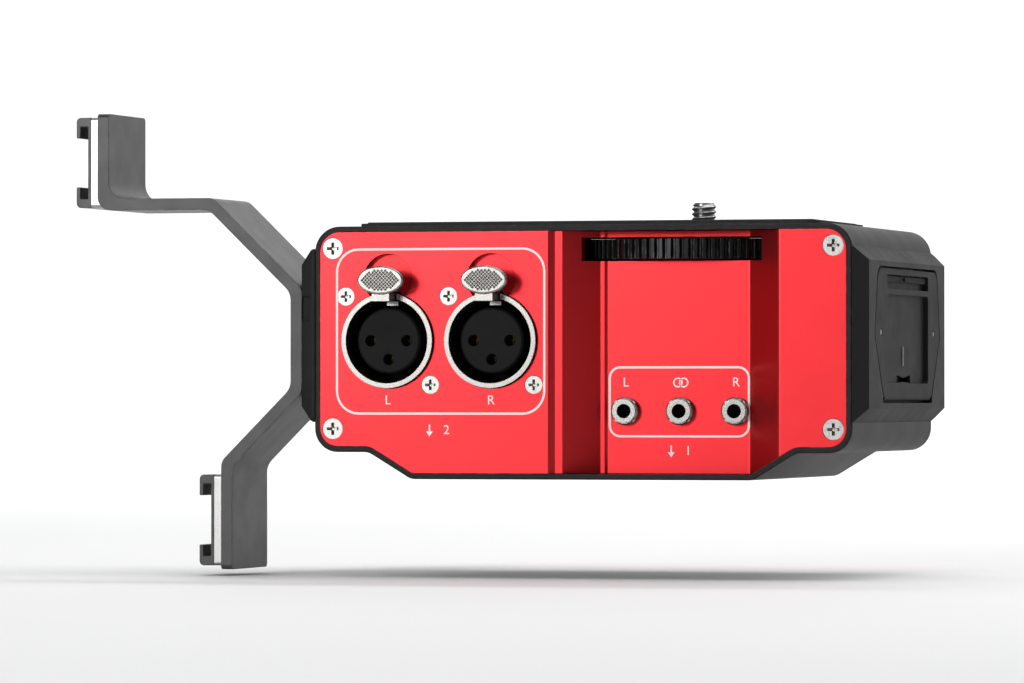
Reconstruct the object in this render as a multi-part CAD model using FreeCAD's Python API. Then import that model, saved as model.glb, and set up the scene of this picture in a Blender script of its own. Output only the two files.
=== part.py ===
import FreeCAD, Part
import math
import os

# Two-channel audio adapter box that bolts under a camera, with a bent accessory-shoe bracket.
# Millimetres. X to the right, Y away from the front panel, Z up.
# Origin: mouth of the tripod socket, at the middle of the base.

V = FreeCAD.Vector
os.makedirs("parts", exist_ok=True)

OVER = 1.0               # how far a cutting shape runs past the surface it opens
FAR = 200.0              # length of a cutting shape that goes right through

# ---- box ----
HALF_W = 70.0            # half width of the sleeve
HEIGHT = 64.0
HALF_D = 45.0            # half depth, panels included
WALL = 1.4               # sleeve wall
TOP_R = 6.5              # upper corners
LOW_R = 6.0              # lower corners
CHIN_Z = 6.8             # height of the side-bottom edges
CHIN_X = 55.8            # where the slope starts
BASE_X = 44.5            # half width of the flat base
BEND_R = 4.0             # rounding where slope and flats meet
PANEL_T = 3.0            # thickness of both end panels
PANEL_GAP = 0.1          # gap between panel edge and sleeve
RIM_CHAMFER = 0.4        # edge break on the sleeve's ends
CORNER_X = 65.2          # corner screws and their posts
CORNER_LOW_Z = 12.7
CORNER_TOP_Z = 58.4
POST_R = 4.2

# ---- finger channel in the front panel ----
CHANNEL_LEFT = -8.3      # mouth corners at the front face
CHANNEL_RIGHT = 51.2
LEFT_STEPS = [(-7.0, 1.3), (-4.9, 1.3), (2.6, 9.5), (3.8, 9.5)]  # (x, depth) down the left wall
FLOOR_LEFT = 4.4         # floor corners
FLOOR_RIGHT = 41.6
CHANNEL_DEPTH = 10.0
TROUGH_T = 2.6           # metal left behind the channel
TROUGH_LEFT = -9.9       # trough's outside corners at the front face
TROUGH_RIGHT = 54.9
TROUGH_R = 2.0
STEP_R = 0.25            # edge rounding on the left wall's steps
MOUTH_R = 1.2            # edge rounding on the right wall
FLOOR_Y = -HALF_D + CHANNEL_DEPTH
FLOOR_BACK_Y = FLOOR_Y + TROUGH_T

# ---- screws ----
SCREW_GAP = 0.05         # radial gap between a thread and its tapped hole
M3_R = 1.5
M3_HEAD_R = 2.65
M25_R = 1.25
M25_HEAD_R = 2.3
HEAD_RIM = 0.3           # straight rim of a countersunk head
HEAD_SINK = 0.1          # how far a head sits below its face
PANEL_SCREW_L = 10.0
XLR_SCREW_L = 7.0
CRADLE_SCREW_L = 7.0
SHOE_SCREW_L = 5.6
RECESS_REACH = 0.58      # cross recess, as shares of the head's radius
RECESS_SLOT = 0.27
RECESS_DEEP = 0.55
RECESS_TIP = 0.25

# ---- camera wheel ----
WHEEL_X = 23.3
WHEEL_Y = -11.0
WHEEL_R = 30.0
WHEEL_RIBS = 84
WHEEL_RIB_H = 0.9
WHEEL_RIB_SHARES = (0.0, 0.22, 0.62, 0.84)   # root, crest, crest, root within one rib's pitch
WHEEL_DISH = 1.5         # depth of the ring sunk into the wheel's top
WHEEL_Z = 55.5
WHEEL_T = 5.0
WHEEL_HUB_R = 8.0
HUB_DROP = 1.3           # hub's boss under the wheel
RIM_W = 5.0
COLLAR_R = 5.2           # across the corners of the screw's hexagon, halved
COLLAR_LOW = 2.5
COLLAR_GAP = 0.03        # glued joint between screw and wheel
STUD_R = 3.175           # quarter-inch camera thread
STUD_LOW = 65.35         # start of the full thread, just above the pad
STUD_TOP = 70.2
STUD_TIP = 0.6           # lead-in chamfer
NECK_R = 2.5             # relieved neck that makes the screw captive
STUD_HOLE_R = 3.6        # hole in the sleeve for the screw
PIVOT_R = 3.0
PIVOT_BORE_R = 3.05
SLOT_LEFT = -1.1         # wheel slot in the channel
SLOT_RIGHT = 45.6
SLOT_LOW = 55.0
SLOT_TOP = 61.0
CRADLE_Z = 51.2
CRADLE_T = 1.5
CRADLE_POSTS = [(-10.4, -8.0), (56.9, -8.0), (WHEEL_X, 25.0)]
CRADLE_OUTLINE = [(-14.6, -16.0), (60.6, -16.0), (60.6, -3.0), (30.0, 29.4), (16.6, 29.4), (-14.6, -3.0)]
CRADLE_CORNER_R = 4.0
CRADLE_POST_R = 2.8
PIVOT_TAIL = 0.8         # screw's end below the cradle
BEARING_R = 4.5          # wheel bush, outside
BEARING_FLANGE_R = 6.5
BEARING_FLANGE_T = 1.2

# ---- XLR sockets ----
XLR_X = {"left": -50.5, "right": -23.3}
XLR_Z = 35.0
XLR_R = 12.0             # ring, outside
XLR_BORE_R = 10.8
XLR_HOLE_R = 12.2
XLR_PROUD = 1.2
XLR_BACK_Y = -23.0
INSERT_R = 8.3
INSERT_FRONT_Y = -44.4
CONTACT_RING_R = 4.75    # half of the 9.5 mm contact spacing
CONTACT_BORE_R = 1.45
CONTACT_R = 0.9          # inside of a contact tube
CONTACT_DEEP = 7.0       # contact tubes start this far behind the insert's face
XLR_SCREW = 11.2         # screw offset from the socket centre, both ways
TAB_Z = 50.2             # centre of the oval push tab
TAB_W = 12.2
TAB_H = 7.2
TAB_FRONT_Y = -51.8
TAB_T = 1.5
NECK_W = 4.6
NECK_LOW_Z = 44.9
NECK_TOP_Z = 47.0
NECK_END_Y = -31.0
DISH_Z = 50.6            # finger dish behind the tab
DISH_R = 6.4
DISH_DEPTH = 2.0
NECK_ROOM = 0.5          # gap round the neck in the panel
NECK_HEADROOM = 0.6
TRACK_ROOM = 0.35        # gap round the neck in the socket
TRACK_HEADROOM = 0.4
TAB_RIM_R = 0.5
TOOTH_HALF = 1.5         # catch under the neck that holds a plug
TOOTH_Y = (-41.0, -39.2)
TOOTH_DROP = 1.0
FLANGE_HALF_W = 12.6     # square flange behind the panel
FLANGE_HALF_H = 13.4
FLANGE_R = 3.0
FLANGE_T = 2.0
EAR_R = 3.2              # screw bosses on the flange
EAR_T = 5.0
BACK_WALL = 1.5          # socket's closed end
INSERT_BASE_T = 2.5
INSERT_CHAMFER = 0.5
CONTACT_TAIL_R = 0.7
CONTACT_TAIL_L = 4.0
CONTACT_FOOT = 2.0       # solid end of a tube

# ---- mini jacks ----
JACK_X = {"left": 9.2, "stereo": 23.5, "right": 37.8}
JACK_Z = 17.2
JACK_BORE_R = 1.8
JACK_BUSH_R = 3.0
JACK_NUT_R = 3.5
JACK_NUT_T = 1.9
NUT_SLOT = 0.6           # depth of the spanner slots
NUT_SLOT_HALF = 0.5
NUT_CHAMFER = 0.3
JACK_TAIL = 4.0          # body behind the bore's end
JACK_PROUD = 2.2
JACK_DEEP = 13.0         # bore depth behind the panel face
JACK_BODY = 9.0          # square body behind the panel
OUTPUT_X = 54.0
OUTPUT_Z = 38.0
PHONES_X = 8.0
PHONES_Z = 17.0

# ---- side covers ----
COVER_LOW = 14.4
COVER_TOP = 58.4
COVER_T = 3.5
LEFT_COVER_T = 4.8
COVER_CHAMFER = 3.5
LEFT_COVER_CHAMFER = 4.0
COVER_CORNER_R = 1.5
COVER_SCREW_Y = (-35.5, 36.5)
COVER_SCREW_Z = (20.0, 52.0)
COVER_SCREW_R = 1.0
COVER_SCREW_L = 2.4      # length in the cover
COVER_HOLE_L = 2.5
COVER_HEAD_R = 2.2
COVER_HEAD_T = 1.4
NOTCH_X = 3.2            # notch in the left cover's front edge
NOTCH_Y = 4.6
NOTCH_Z = (40.0, 46.4)

# ---- battery ----
BAY_Y = 26.0             # half length of the cavity
BAY_LOW = 22.5
BAY_TOP = 49.6
BAY_WALL = 1.2
BAY_FLOOR_X = 51.4
BATTERY_X = (51.8, 69.3)
BATTERY_Y = (-25.2, 21.2)
BATTERY_Z = (22.8, 49.3)
BATTERY_R = 2.0
SNAP_H = 2.1
SNAP_HALF = 6.35         # half of the 12.7 mm between the snaps
SNAP_SMALL_R = 2.9
SNAP_LARGE_R = 3.9
CLIP_HALF = 4.5          # contact plates in the bay
CLIP_T = 0.6
CLIP_BUTTON_R = 2.2
DOOR_T = 2.1
DOOR_GAP = 0.6
DOOR_Y = 1.9             # the door is symmetric about this plane
DOOR_LOW = 19.8
DOOR_MID = 36.0
DOOR_TOP = 53.0
DOOR_HALF = (26.4, 36.8, 33.4)   # half widths at the low, mid and top edge
LEDGE_GAP = 0.3          # behind the closed door
FINGER_Y = (-22.6, 23.4)  # shallow recess in the door, from its middle
FINGER_Z = (24.2, 46.6)
FINGER_DEPTH = 1.2
# Finger notch through the door: (y from its middle, z).
BOW = [(7.7, 24.3), (0.0, 24.6), (-7.7, 24.3), (-7.7, 26.3), (0.0, 25.6), (7.7, 26.3)]
PIP_Y = 30.0             # polished pips set in the door, from its middle
PIP_Z = 37.0
PIP_PIT_R = 0.9
PIP_PIT_DEPTH = 0.6
LATCH_Y = 23.0           # half length of the latch bar
LATCH_SLOT_Z = (48.0, 51.6)
LATCH_DEPTH = 1.5        # bottom of the slot below the door's face
LATCH_END_GAP = 0.4
LATCH_Z = (49.8, 51.3)
LATCH_BACK = 1.2         # back and front of the bar below the door's face
LATCH_FRONT = 0.6
TONGUE_HALF = 5.0
TONGUE_LOW = 51.0
TONGUE_TIP_GAP = 0.1
TONGUE_FRONT = 0.8
TONGUE_WAY_HALF = 5.4
TONGUE_WAY_FRONT = 0.5
GRIP_HALF = 3.0          # thumb grip on the bar
GRIP_Z = (50.1, 51.0)
GRIP_FRONT = 0.1
GRIP_R = 0.4
PIN_R = 0.6
PIN_HALF = 30.0
PIN_ROOM_HALF = 32.0
PIN_SEAT_GAP = 0.02      # pin held in the cover
PIN_RUN_GAP = 0.05       # pin turning in the door
KNUCKLE_END_GAP = 0.4
HINGE_ROOM = 28.2        # half length of the space the door's lower corners swing in
SWING_RISE = 1.3         # top of that space above the hinge axis

# ---- bracket ----
BRACKET_T = 3.0
BRACKET_Y = (-41.0, -13.0)
BRACKET_BEND = 4.5       # inside bend radius
BRACKET_OUTER = 3.5      # outside bend radius: the metal fills the corner
BRACKET_LINE = [(-130.1, 93.6), (-130.1, 68.7), (-99.9, 68.7), (-77.8, 47.3), (-77.8, 23.0),
                (-96.5, 4.3), (-96.5, -23.3)]   # left face of the strip, (x, z) from the upper free end
BRACKET_END_R = 1.2      # rounding of the free ends' corners
BRACKET_SCREW_Z = (28.5, 42.0)
BRACKET_SCREW_R = 1.95
BRACKET_SCREW_L = 3.8    # length past the strip
BRACKET_HOLE_R = 2.2     # in the strip
BRACKET_TAP_R = 2.0      # in the cover
BRACKET_TAP_L = 4.0
BRACKET_HEAD_R = 3.7
BRACKET_HEAD_T = 2.2
BRACKET_HEAD_ROUND = 1.2
HEX_R = 1.45             # socket for a key, centre to corner
HEX_DEPTH = 1.4
SHOE_HALF = 11.65
SHOE_Y = (-38.0, -16.0)
SHOE_PLATE_T = 2.9
SHOE_FLOOR_T = 0.8
SHOE_SLOT_HALF = 9.35    # half of the 18.7 mm foot slot
SHOE_SLOT_T = 2.15
SHOE_LIP_T = 1.0
SHOE_MOUTH_HALF = 6.3
SHOE_Z = {"upper": 81.15, "lower": -10.75}
SHOE_FACE_X = {"upper": -130.1, "lower": -96.5}
SHOE_SCREW_Y = (-33.0, -21.0)
SHOE_PLATE_R = 0.8
SHOE_EDGE_R = 1.2        # outside edges, lip edges and inner corners of the channel
SHOE_LIP_R = 0.3
SHOE_CORNER_R = 0.2

# ---- rear panel ----
KNOB_X = {"left": -46.0, "right": -20.0, "phones": 8.0}
KNOB_Z = 40.0
KNOB_R = {"left": 7.5, "right": 7.5, "phones": 6.0}
KNOB_H = 11.0
KNOB_GAP = 0.5
KNOB_FLUTES = 28
FLUTE_DEPTH = 0.35
FLUTE_SHARES = (0.0, 0.25, 0.7, 0.95)   # root, crest, crest, root within one flute's pitch
SKIRT_H = 1.5
CROWN_H = 1.0
CROWN_IN = 0.8
POINTER_HALF = 0.4
POINTER_DEPTH = 0.5
POINTER_START = 0.35     # share of the knob's radius
SHAFT_L = 8.0            # shaft inside the knob
SHAFT_TAIL = 2.0         # shaft behind the panel
POT_R = 8.0
POT_Y = (2.4, 9.0)       # depth of the can behind the panel
POT_COLLAR_R = 4.5
POT_COLLAR_L = 2.6
POT_BORE_L = 2.5
POT_ROOM_L = 1.8         # wider mouth round the shaft's end
POT_ROOM_GAP = 0.4
POT_LEGS = (-5.0, 0.0, 5.0)
POT_LEG_HALF = 0.5
POT_LEG_Y = (4.2, 5.0)
POT_LEG_DROP = (6.0, 13.0)
SHAFT_R = 3.0
SHAFT_HOLE_GAP = 0.5     # round the shaft in the panel
SWITCH_X = {"phantom_left": -48.0, "phantom_right": -22.0, "power": 30.0}
SWITCH_Z = 17.0
SWITCH_TRAVEL = 4.0
SWITCH_CASE = (6.5, 6.0, 3.5)      # half length, depth, half height
SWITCH_ROOM = (4.4, 2.6, 1.8)      # the same for the space inside
SWITCH_WINDOW = (4.6, 1.9)         # half size of the opening in the panel
SLIDER_HALF = (1.8, 1.4)
SLIDER_DEEP = 2.2
SLIDER_PROUD = 2.0
SLIDER_R = 0.4
GROOVES = (-0.9, 0.0, 0.9)
GROOVE_HALF = 0.2
GROOVE_DEPTH = 0.4
METER_X = 31.0
METER_Z = 44.0
METER_W = 26.0
METER_H = 9.0
METER_R = 1.5
METER_GAP = 0.1
METER_PANE = (0.2, 1.8)  # front and back of the window below the panel's face
LAMP_ROWS = (-2.0, 2.0)
LAMP_COUNT = 6
LAMP_PITCH = 4.0
LAMP_R = 1.3
LAMP_BACK = 5.0
METER_BOARD = (14.0, 1.6, 6.0)     # half width, thickness, half height
POWER_LED_UP = 8.0       # above the power switch
POWER_LED_R = 1.5
POWER_LED_HOLE_R = 1.6

# ---- inside ----
BUSH_R = 6.0
BUSH_FLANGE_R = 9.0
BUSH_FLANGE_T = 2.0
SOCKET_R = 3.2           # quarter-inch tripod thread, at its major diameter
SOCKET_DEPTH = 9.0
STIFFENER_T = 3.0
STIFFENER_X = 36.0
STIFFENER_Y = 30.0
BOARD_Z = 10.0
BOARD_T = 1.6
PAD_T = 1.2
PAD_X = (-60.0, 60.0)
PAD_Y = (-40.0, 12.0)
PAD_R = 3.0
PAD_HOLE_R = 4.2
STIFFENER_R = 4.0
BOARD_X = (-56.0, 46.0)
BOARD_Y = (-18.0, 34.0)
BOARD_SPOTS = [(-41.0, -14.0), (41.0, -14.0), (-41.0, 30.0), (41.0, 30.0)]
BOARD_HOLE_R = 1.6
CHIPS = [(-24.0, -4.0, 10.0, 6.0), (-4.0, -6.0, 8.0, 8.0), (16.0, -6.0, 12.0, 7.0), (30.0, 14.0, 7.0, 7.0)]
CHIP_H = 1.6
STANDOFF_R = 2.5
PEG_R = 1.5
PEG_PROUD = 1.0
CAN_HALF = 8.0           # input transformers
CAN_Y = (2.0, 18.0)
CAN_H = 13.0
CAN_R = 1.5
CAPACITORS = [(4.0, 8.0, 4.0, 11.0), (14.0, 8.0, 4.0, 11.0), (4.0, 20.0, 3.0, 7.0)]   # x, y, radius, height


# ================= helpers =================

def front(y):
    """Maps (u, v) to the vertical plane at depth y."""
    return lambda u, v: V(u, y, v)


def side(x):
    """Maps (u, v) to the vertical plane at this x, u along Y."""
    return lambda u, v: V(x, u, v)


def level(z):
    """Maps (u, v) to the horizontal plane at height z."""
    return lambda u, v: V(u, v, z)


def outline_face(corners, place):
    """Face from corner points (u, v, fillet radius)."""
    edges = []
    ends = []
    count = len(corners)
    for i in range(count):
        u, v, r = corners[i]
        before = corners[i - 1]
        after = corners[(i + 1) % count]
        point = place(u, v)
        to_before = (place(before[0], before[1]) - point).normalize()
        to_after = (place(after[0], after[1]) - point).normalize()
        if r <= 0:
            ends.append((point, point))
            continue
        half = to_before.getAngle(to_after) / 2
        reach = r / math.tan(half)
        start = point + to_before * reach
        stop = point + to_after * reach
        middle_way = (to_before + to_after).normalize()
        middle = point + middle_way * (r / math.sin(half) - r)
        edges.append(Part.Arc(start, middle, stop).toShape())
        ends.append((start, stop))
    for i in range(count):
        a = ends[i][1]
        b = ends[(i + 1) % count][0]
        if a.distanceToPoint(b) > 1e-6:
            edges.append(Part.LineSegment(a, b).toShape())
    wire = Part.Wire(Part.__sortEdges__(edges))
    return Part.Face(wire)


def prism(corners, place, way):
    return outline_face(corners, place).extrude(way)


def block(x, y, z):
    """Box between pairs of limits."""
    size = (x[1] - x[0], y[1] - y[0], z[1] - z[0])
    return Part.makeBox(size[0], size[1], size[2], V(x[0], y[0], z[0]))


def round_block(x, y, z, r, axis):
    """Box whose four edges along one axis are rounded."""
    box = block(x, y, z)
    edges = []
    for edge in box.Edges:
        way = edge.tangentAt(edge.FirstParameter)
        if abs(way.dot(axis)) > 0.99:
            edges.append(edge)
    return box.makeFillet(r, edges)


def rod_y(x, z, r, y0, y1):
    return Part.makeCylinder(r, y1 - y0, V(x, y0, z), V(0, 1, 0))


def rod_z(x, y, r, z0, z1):
    return Part.makeCylinder(r, z1 - z0, V(x, y, z0), V(0, 0, 1))


def rod_x(y, z, r, x0, x1):
    return Part.makeCylinder(r, x1 - x0, V(x0, y, z), V(1, 0, 0))


def cone_between(a, b, ra, rb):
    """Round bar from a to b, tapering from radius ra to rb."""
    way = b - a
    if abs(ra - rb) < 1e-9:
        return Part.makeCylinder(ra, way.Length, a, way)
    return Part.makeCone(ra, rb, way.Length, a, way)


def joined(shapes):
    return shapes[0].fuse(shapes[1:]).removeSplitter()


def export(name, solids):
    """Writes one node."""
    shape = solids
    if isinstance(solids, list):
        shape = solids[0] if len(solids) == 1 else Part.makeCompound(solids)
    shape.exportStep("parts/" + name + ".step")
    print(name, len(shape.Solids), round(shape.Volume, 1), shape.isValid())


def cross_recess(head_r, tip, way):
    """Cross slot of a screw head, cut in along way from the point tip."""
    side_a = V(1, 0, 0) if abs(way.x) < 0.5 else V(0, 1, 0)
    side_b = way.cross(side_a)
    reach = RECESS_REACH * head_r
    slot = RECESS_SLOT * head_r
    deep = RECESS_DEEP * head_r
    bars = []
    for long_way, thin_way in ((side_a, side_b), (side_b, side_a)):
        corner = tip - long_way * reach - thin_way * (slot / 2) - way * OVER
        points = [corner, corner + long_way * 2 * reach]
        points.append(points[1] + thin_way * slot)
        points.append(corner + thin_way * slot)
        points.append(corner)
        bars.append(Part.Face(Part.makePolygon(points)).extrude(way * (deep + OVER)))
    limit = cone_between(tip - way * OVER, tip + way * deep, 2 * reach, RECESS_TIP * head_r)
    return bars[0].fuse(bars[1]).common(limit)


def flat_screw(tip, way, r, head_r, length):
    """Countersunk screw; tip is the middle of the head's flat face."""
    head = head_r - r
    rim = cone_between(tip, tip + way * HEAD_RIM, head_r, head_r)
    taper = cone_between(tip + way * HEAD_RIM, tip + way * (HEAD_RIM + head), head_r, r)
    shank = cone_between(tip + way * (HEAD_RIM + head), tip + way * length, r, r)
    body = joined([rim, taper, shank])
    return body.cut(cross_recess(head_r, tip, way))


def flat_screw_hole(tip, way, r, head_r, length):
    """Space for a countersunk screw, with a running gap all round."""
    gap = SCREW_GAP
    mouth = tip - way * OVER
    wide = head_r + gap
    rim = cone_between(mouth, tip + way * (HEAD_RIM + gap), wide, wide)
    low = tip + way * (HEAD_RIM + gap + head_r - r)
    taper = cone_between(tip + way * (HEAD_RIM + gap), low, wide, r + gap)
    shank = cone_between(low, tip + way * (length + gap), r + gap, r + gap)
    return joined([rim, taper, shank])


# ================= sleeve and panels =================

def box_corners():
    half = [(BASE_X, 0.0, BEND_R), (CHIN_X, CHIN_Z, BEND_R), (HALF_W, CHIN_Z, LOW_R),
            (HALF_W, HEIGHT, TOP_R)]
    mirrored = [(-x, z, r) for x, z, r in reversed(half)]
    return half + mirrored


def box_prism(inset, y0, y1):
    """The box outline, drawn in by inset, between two depths."""
    face = outline_face(box_corners(), front(y0))
    if inset > 0:
        face = face.makeOffset2D(-inset)
    return face.extrude(V(0, y1 - y0, 0))


def corner_places():
    places = []
    for x in (-CORNER_X, CORNER_X):
        for z in (CORNER_LOW_Z, CORNER_TOP_Z):
            places.append((x, z))
    return places


def corner_screws(y, way):
    tip_y = y + way.y * HEAD_SINK
    spots = corner_places()
    return [flat_screw(V(x, tip_y, z), way, M3_R, M3_HEAD_R, PANEL_SCREW_L) for x, z in spots]


def corner_holes(y, way):
    tip_y = y + way.y * HEAD_SINK
    spots = corner_places()
    return [flat_screw_hole(V(x, tip_y, z), way, M3_R, M3_HEAD_R, PANEL_SCREW_L) for x, z in spots]


def chassis_shell():
    outer = box_prism(0, -HALF_D, HALF_D)
    rims = [e for e in outer.Edges if abs(abs(e.CenterOfMass.y) - HALF_D) < 1e-3]
    outer = outer.makeChamfer(RIM_CHAMFER, rims)
    shell = outer.cut(box_prism(WALL, -HALF_D - OVER, HALF_D + OVER))
    room = box_prism(WALL / 2, -HALF_D, HALF_D)
    posts = []
    for x, z in corner_places():
        post = rod_y(x, z, POST_R, -HALF_D + PANEL_T, HALF_D - PANEL_T)
        posts.append(post.common(room))
    shell = joined([shell] + posts)
    cuts = corner_holes(-HALF_D, V(0, 1, 0)) + corner_holes(HALF_D, V(0, -1, 0))
    cuts.append(rod_z(0, 0, BUSH_R + SCREW_GAP, -OVER, WALL + OVER))
    cuts.append(rod_z(WHEEL_X, WHEEL_Y, STUD_HOLE_R, HEIGHT - WALL - OVER, HEIGHT + OVER))
    cuts.append(block((HALF_W - WALL - OVER, HALF_W + OVER), (-BAY_Y, BAY_Y), (BAY_LOW, BAY_TOP)))
    cuts += cover_screw_holes() + cradle_screw_holes()
    return shell.cut(cuts)


def channel_front():
    """Everything in front of the panel's front surface, channel included."""
    ahead = -HALF_D - OVER
    wide = HALF_W + OVER
    corners = [(-wide, ahead, 0), (-wide, -HALF_D, 0), (CHANNEL_LEFT, -HALF_D, STEP_R)]
    corners += [(x, -HALF_D + depth, STEP_R) for x, depth in LEFT_STEPS]
    corners += [(FLOOR_LEFT, FLOOR_Y, 0), (FLOOR_RIGHT, FLOOR_Y, MOUTH_R),
                (CHANNEL_RIGHT, -HALF_D, MOUTH_R), (wide, -HALF_D, 0), (wide, ahead, 0)]
    return prism(corners, level(-OVER), V(0, 0, HEIGHT + 2 * OVER))


def channel_back():
    """The trough's outside, as seen from inside the box."""
    deep = CHANNEL_DEPTH + TROUGH_T
    ahead = -HALF_D - OVER
    corners = [(TROUGH_LEFT - OVER, ahead, 0), (TROUGH_LEFT, -HALF_D, 0),
               (TROUGH_LEFT + deep, FLOOR_BACK_Y, TROUGH_R), (TROUGH_RIGHT - deep, FLOOR_BACK_Y, TROUGH_R),
               (TROUGH_RIGHT, -HALF_D, 0), (TROUGH_RIGHT + OVER, ahead, 0)]
    return prism(corners, level(-OVER), V(0, 0, HEIGHT + 2 * OVER))


def xlr_panel_cuts():
    cuts = []
    y0 = -HALF_D - OVER
    y1 = -HALF_D + PANEL_T + OVER
    neck = NECK_W / 2 + NECK_ROOM
    for x in XLR_X.values():
        cuts.append(rod_y(x, XLR_Z, XLR_HOLE_R, y0, y1))
        cuts.append(block((x - neck, x + neck), (y0, y1), (XLR_Z, NECK_TOP_Z + NECK_HEADROOM)))
        cuts.append(rod_y(x, DISH_Z, DISH_R, y0, -HALF_D + DISH_DEPTH))
    return cuts


def xlr_screw_spots():
    spots = []
    for x in XLR_X.values():
        spots.append((x - XLR_SCREW, XLR_Z + XLR_SCREW))
        spots.append((x + XLR_SCREW, XLR_Z - XLR_SCREW))
    return spots


def xlr_screws():
    tip_y = -HALF_D + HEAD_SINK
    way = V(0, 1, 0)
    return [flat_screw(V(x, tip_y, z), way, M25_R, M25_HEAD_R, XLR_SCREW_L) for x, z in xlr_screw_spots()]


def xlr_screw_holes():
    tip_y = -HALF_D + HEAD_SINK
    way = V(0, 1, 0)
    spots = xlr_screw_spots()
    return [flat_screw_hole(V(x, tip_y, z), way, M25_R, M25_HEAD_R, XLR_SCREW_L) for x, z in spots]


def front_panel():
    inset = WALL + PANEL_GAP
    ahead = -HALF_D - OVER / 2
    plate = box_prism(inset, ahead, -HALF_D + PANEL_T)
    trough = box_prism(inset, ahead, FLOOR_BACK_Y).common(channel_back())
    panel = joined([plate, trough]).cut(channel_front())
    cuts = corner_holes(-HALF_D, V(0, 1, 0)) + xlr_panel_cuts() + xlr_screw_holes()
    cuts.append(block((SLOT_LEFT, SLOT_RIGHT), (-HALF_D, FLOOR_BACK_Y + OVER), (SLOT_LOW, SLOT_TOP)))
    for x in JACK_X.values():
        cuts.append(rod_y(x, JACK_Z, JACK_BUSH_R + SCREW_GAP, FLOOR_Y - OVER, FLOOR_BACK_Y + OVER))
    return panel.cut(cuts)


def rear_panel():
    inset = WALL + PANEL_GAP
    inner = HALF_D - PANEL_T
    panel = box_prism(inset, inner, HALF_D)
    cuts = corner_holes(HALF_D, V(0, -1, 0))
    y0 = inner - OVER
    y1 = HALF_D + OVER
    for x in KNOB_X.values():
        cuts.append(rod_y(x, KNOB_Z, SHAFT_R + SHAFT_HOLE_GAP, y0, y1))
    half_w, half_h = SWITCH_WINDOW
    for x in SWITCH_X.values():
        cuts.append(block((x - half_w, x + half_w), (y0, y1), (SWITCH_Z - half_h, SWITCH_Z + half_h)))
    for x, z in ((OUTPUT_X, OUTPUT_Z), (PHONES_X, PHONES_Z)):
        cuts.append(rod_y(x, z, JACK_BUSH_R + SCREW_GAP, y0, y1))
    cuts.append(meter_block(0, (y0, y1)))
    cuts.append(rod_y(SWITCH_X["power"], SWITCH_Z + POWER_LED_UP, POWER_LED_HOLE_R, y0, y1))
    return panel.cut(cuts)


# ================= side covers =================

def edge_wedge(corners, way):
    """Cutting bar with this outline, for one bevelled edge."""
    return Part.Face(Part.makePolygon(corners + corners[:1])).extrude(way)


def chamfered_cover(sign, thickness, chamfer):
    """Plate on a flat side, its outer edges cut at 45 degrees except along the back."""
    r = COVER_CORNER_R
    corners = [(-HALF_D, COVER_LOW, r), (HALF_D, COVER_LOW, r),
               (HALF_D, COVER_TOP, r), (-HALF_D, COVER_TOP, r)]
    plate = prism(corners, side(sign * HALF_W), V(sign * thickness, 0, 0))
    x_mid = sign * (HALF_W + thickness - chamfer)
    x_far = sign * (HALF_W + thickness + OVER)
    run = chamfer + OVER
    y = -FAR / 2
    top = [V(x_mid, y, COVER_TOP), V(x_far, y, COVER_TOP - run), V(x_far, y, COVER_TOP + OVER),
           V(x_mid, y, COVER_TOP + OVER)]
    low = [V(p.x, p.y, COVER_TOP + COVER_LOW - p.z) for p in top]
    nose = [V(x_mid, -HALF_D, 0), V(x_far, -HALF_D + run, 0), V(x_far, -HALF_D - OVER, 0),
            V(x_mid, -HALF_D - OVER, 0)]
    wedges = [edge_wedge(top, V(0, FAR, 0)), edge_wedge(low, V(0, FAR, 0)), edge_wedge(nose, V(0, 0, FAR))]
    return plate.cut(wedges)


def cover_screw_spots():
    spots = []
    for sign in (-1, 1):
        for y in COVER_SCREW_Y:
            for z in COVER_SCREW_Z:
                spots.append((sign, y, z))
    return spots


def on_side(shape, sign):
    """A shape built on the right side, or its mirror image on the left."""
    return shape if sign > 0 else shape.mirror(V(0, 0, 0), V(1, 0, 0))


def cover_screws():
    """Pan-head screws from inside the sleeve into the side covers."""
    x_wall = HALF_W - WALL
    screws = []
    for sign, y, z in cover_screw_spots():
        head = rod_x(y, z, COVER_HEAD_R, x_wall - COVER_HEAD_T, x_wall)
        shank = rod_x(y, z, COVER_SCREW_R, x_wall - COVER_HEAD_T / 2, HALF_W + COVER_SCREW_L)
        screws.append(on_side(joined([head, shank]), sign))
    return screws


def cover_screw_holes():
    holes = []
    for sign, y, z in cover_screw_spots():
        hole = rod_x(y, z, COVER_SCREW_R + SCREW_GAP, HALF_W - WALL - OVER, HALF_W + COVER_HOLE_L)
        holes.append(on_side(hole, sign))
    return holes


def door_corners(gap):
    """Six-sided door outline in (y, z), widest at mid height."""
    low, mid, top = DOOR_HALF
    right = [(DOOR_Y + low + gap, DOOR_LOW - gap, 0.8), (DOOR_Y + mid + gap, DOOR_MID, 2.0),
             (DOOR_Y + top + gap, DOOR_TOP + gap, 4.0)]
    left = [(2 * DOOR_Y - y, z, r) for y, z, r in reversed(right)]
    return right + left


def hinge_axis():
    r = DOOR_T / 2
    return HALF_W + COVER_T - r, DOOR_LOW + r


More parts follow.
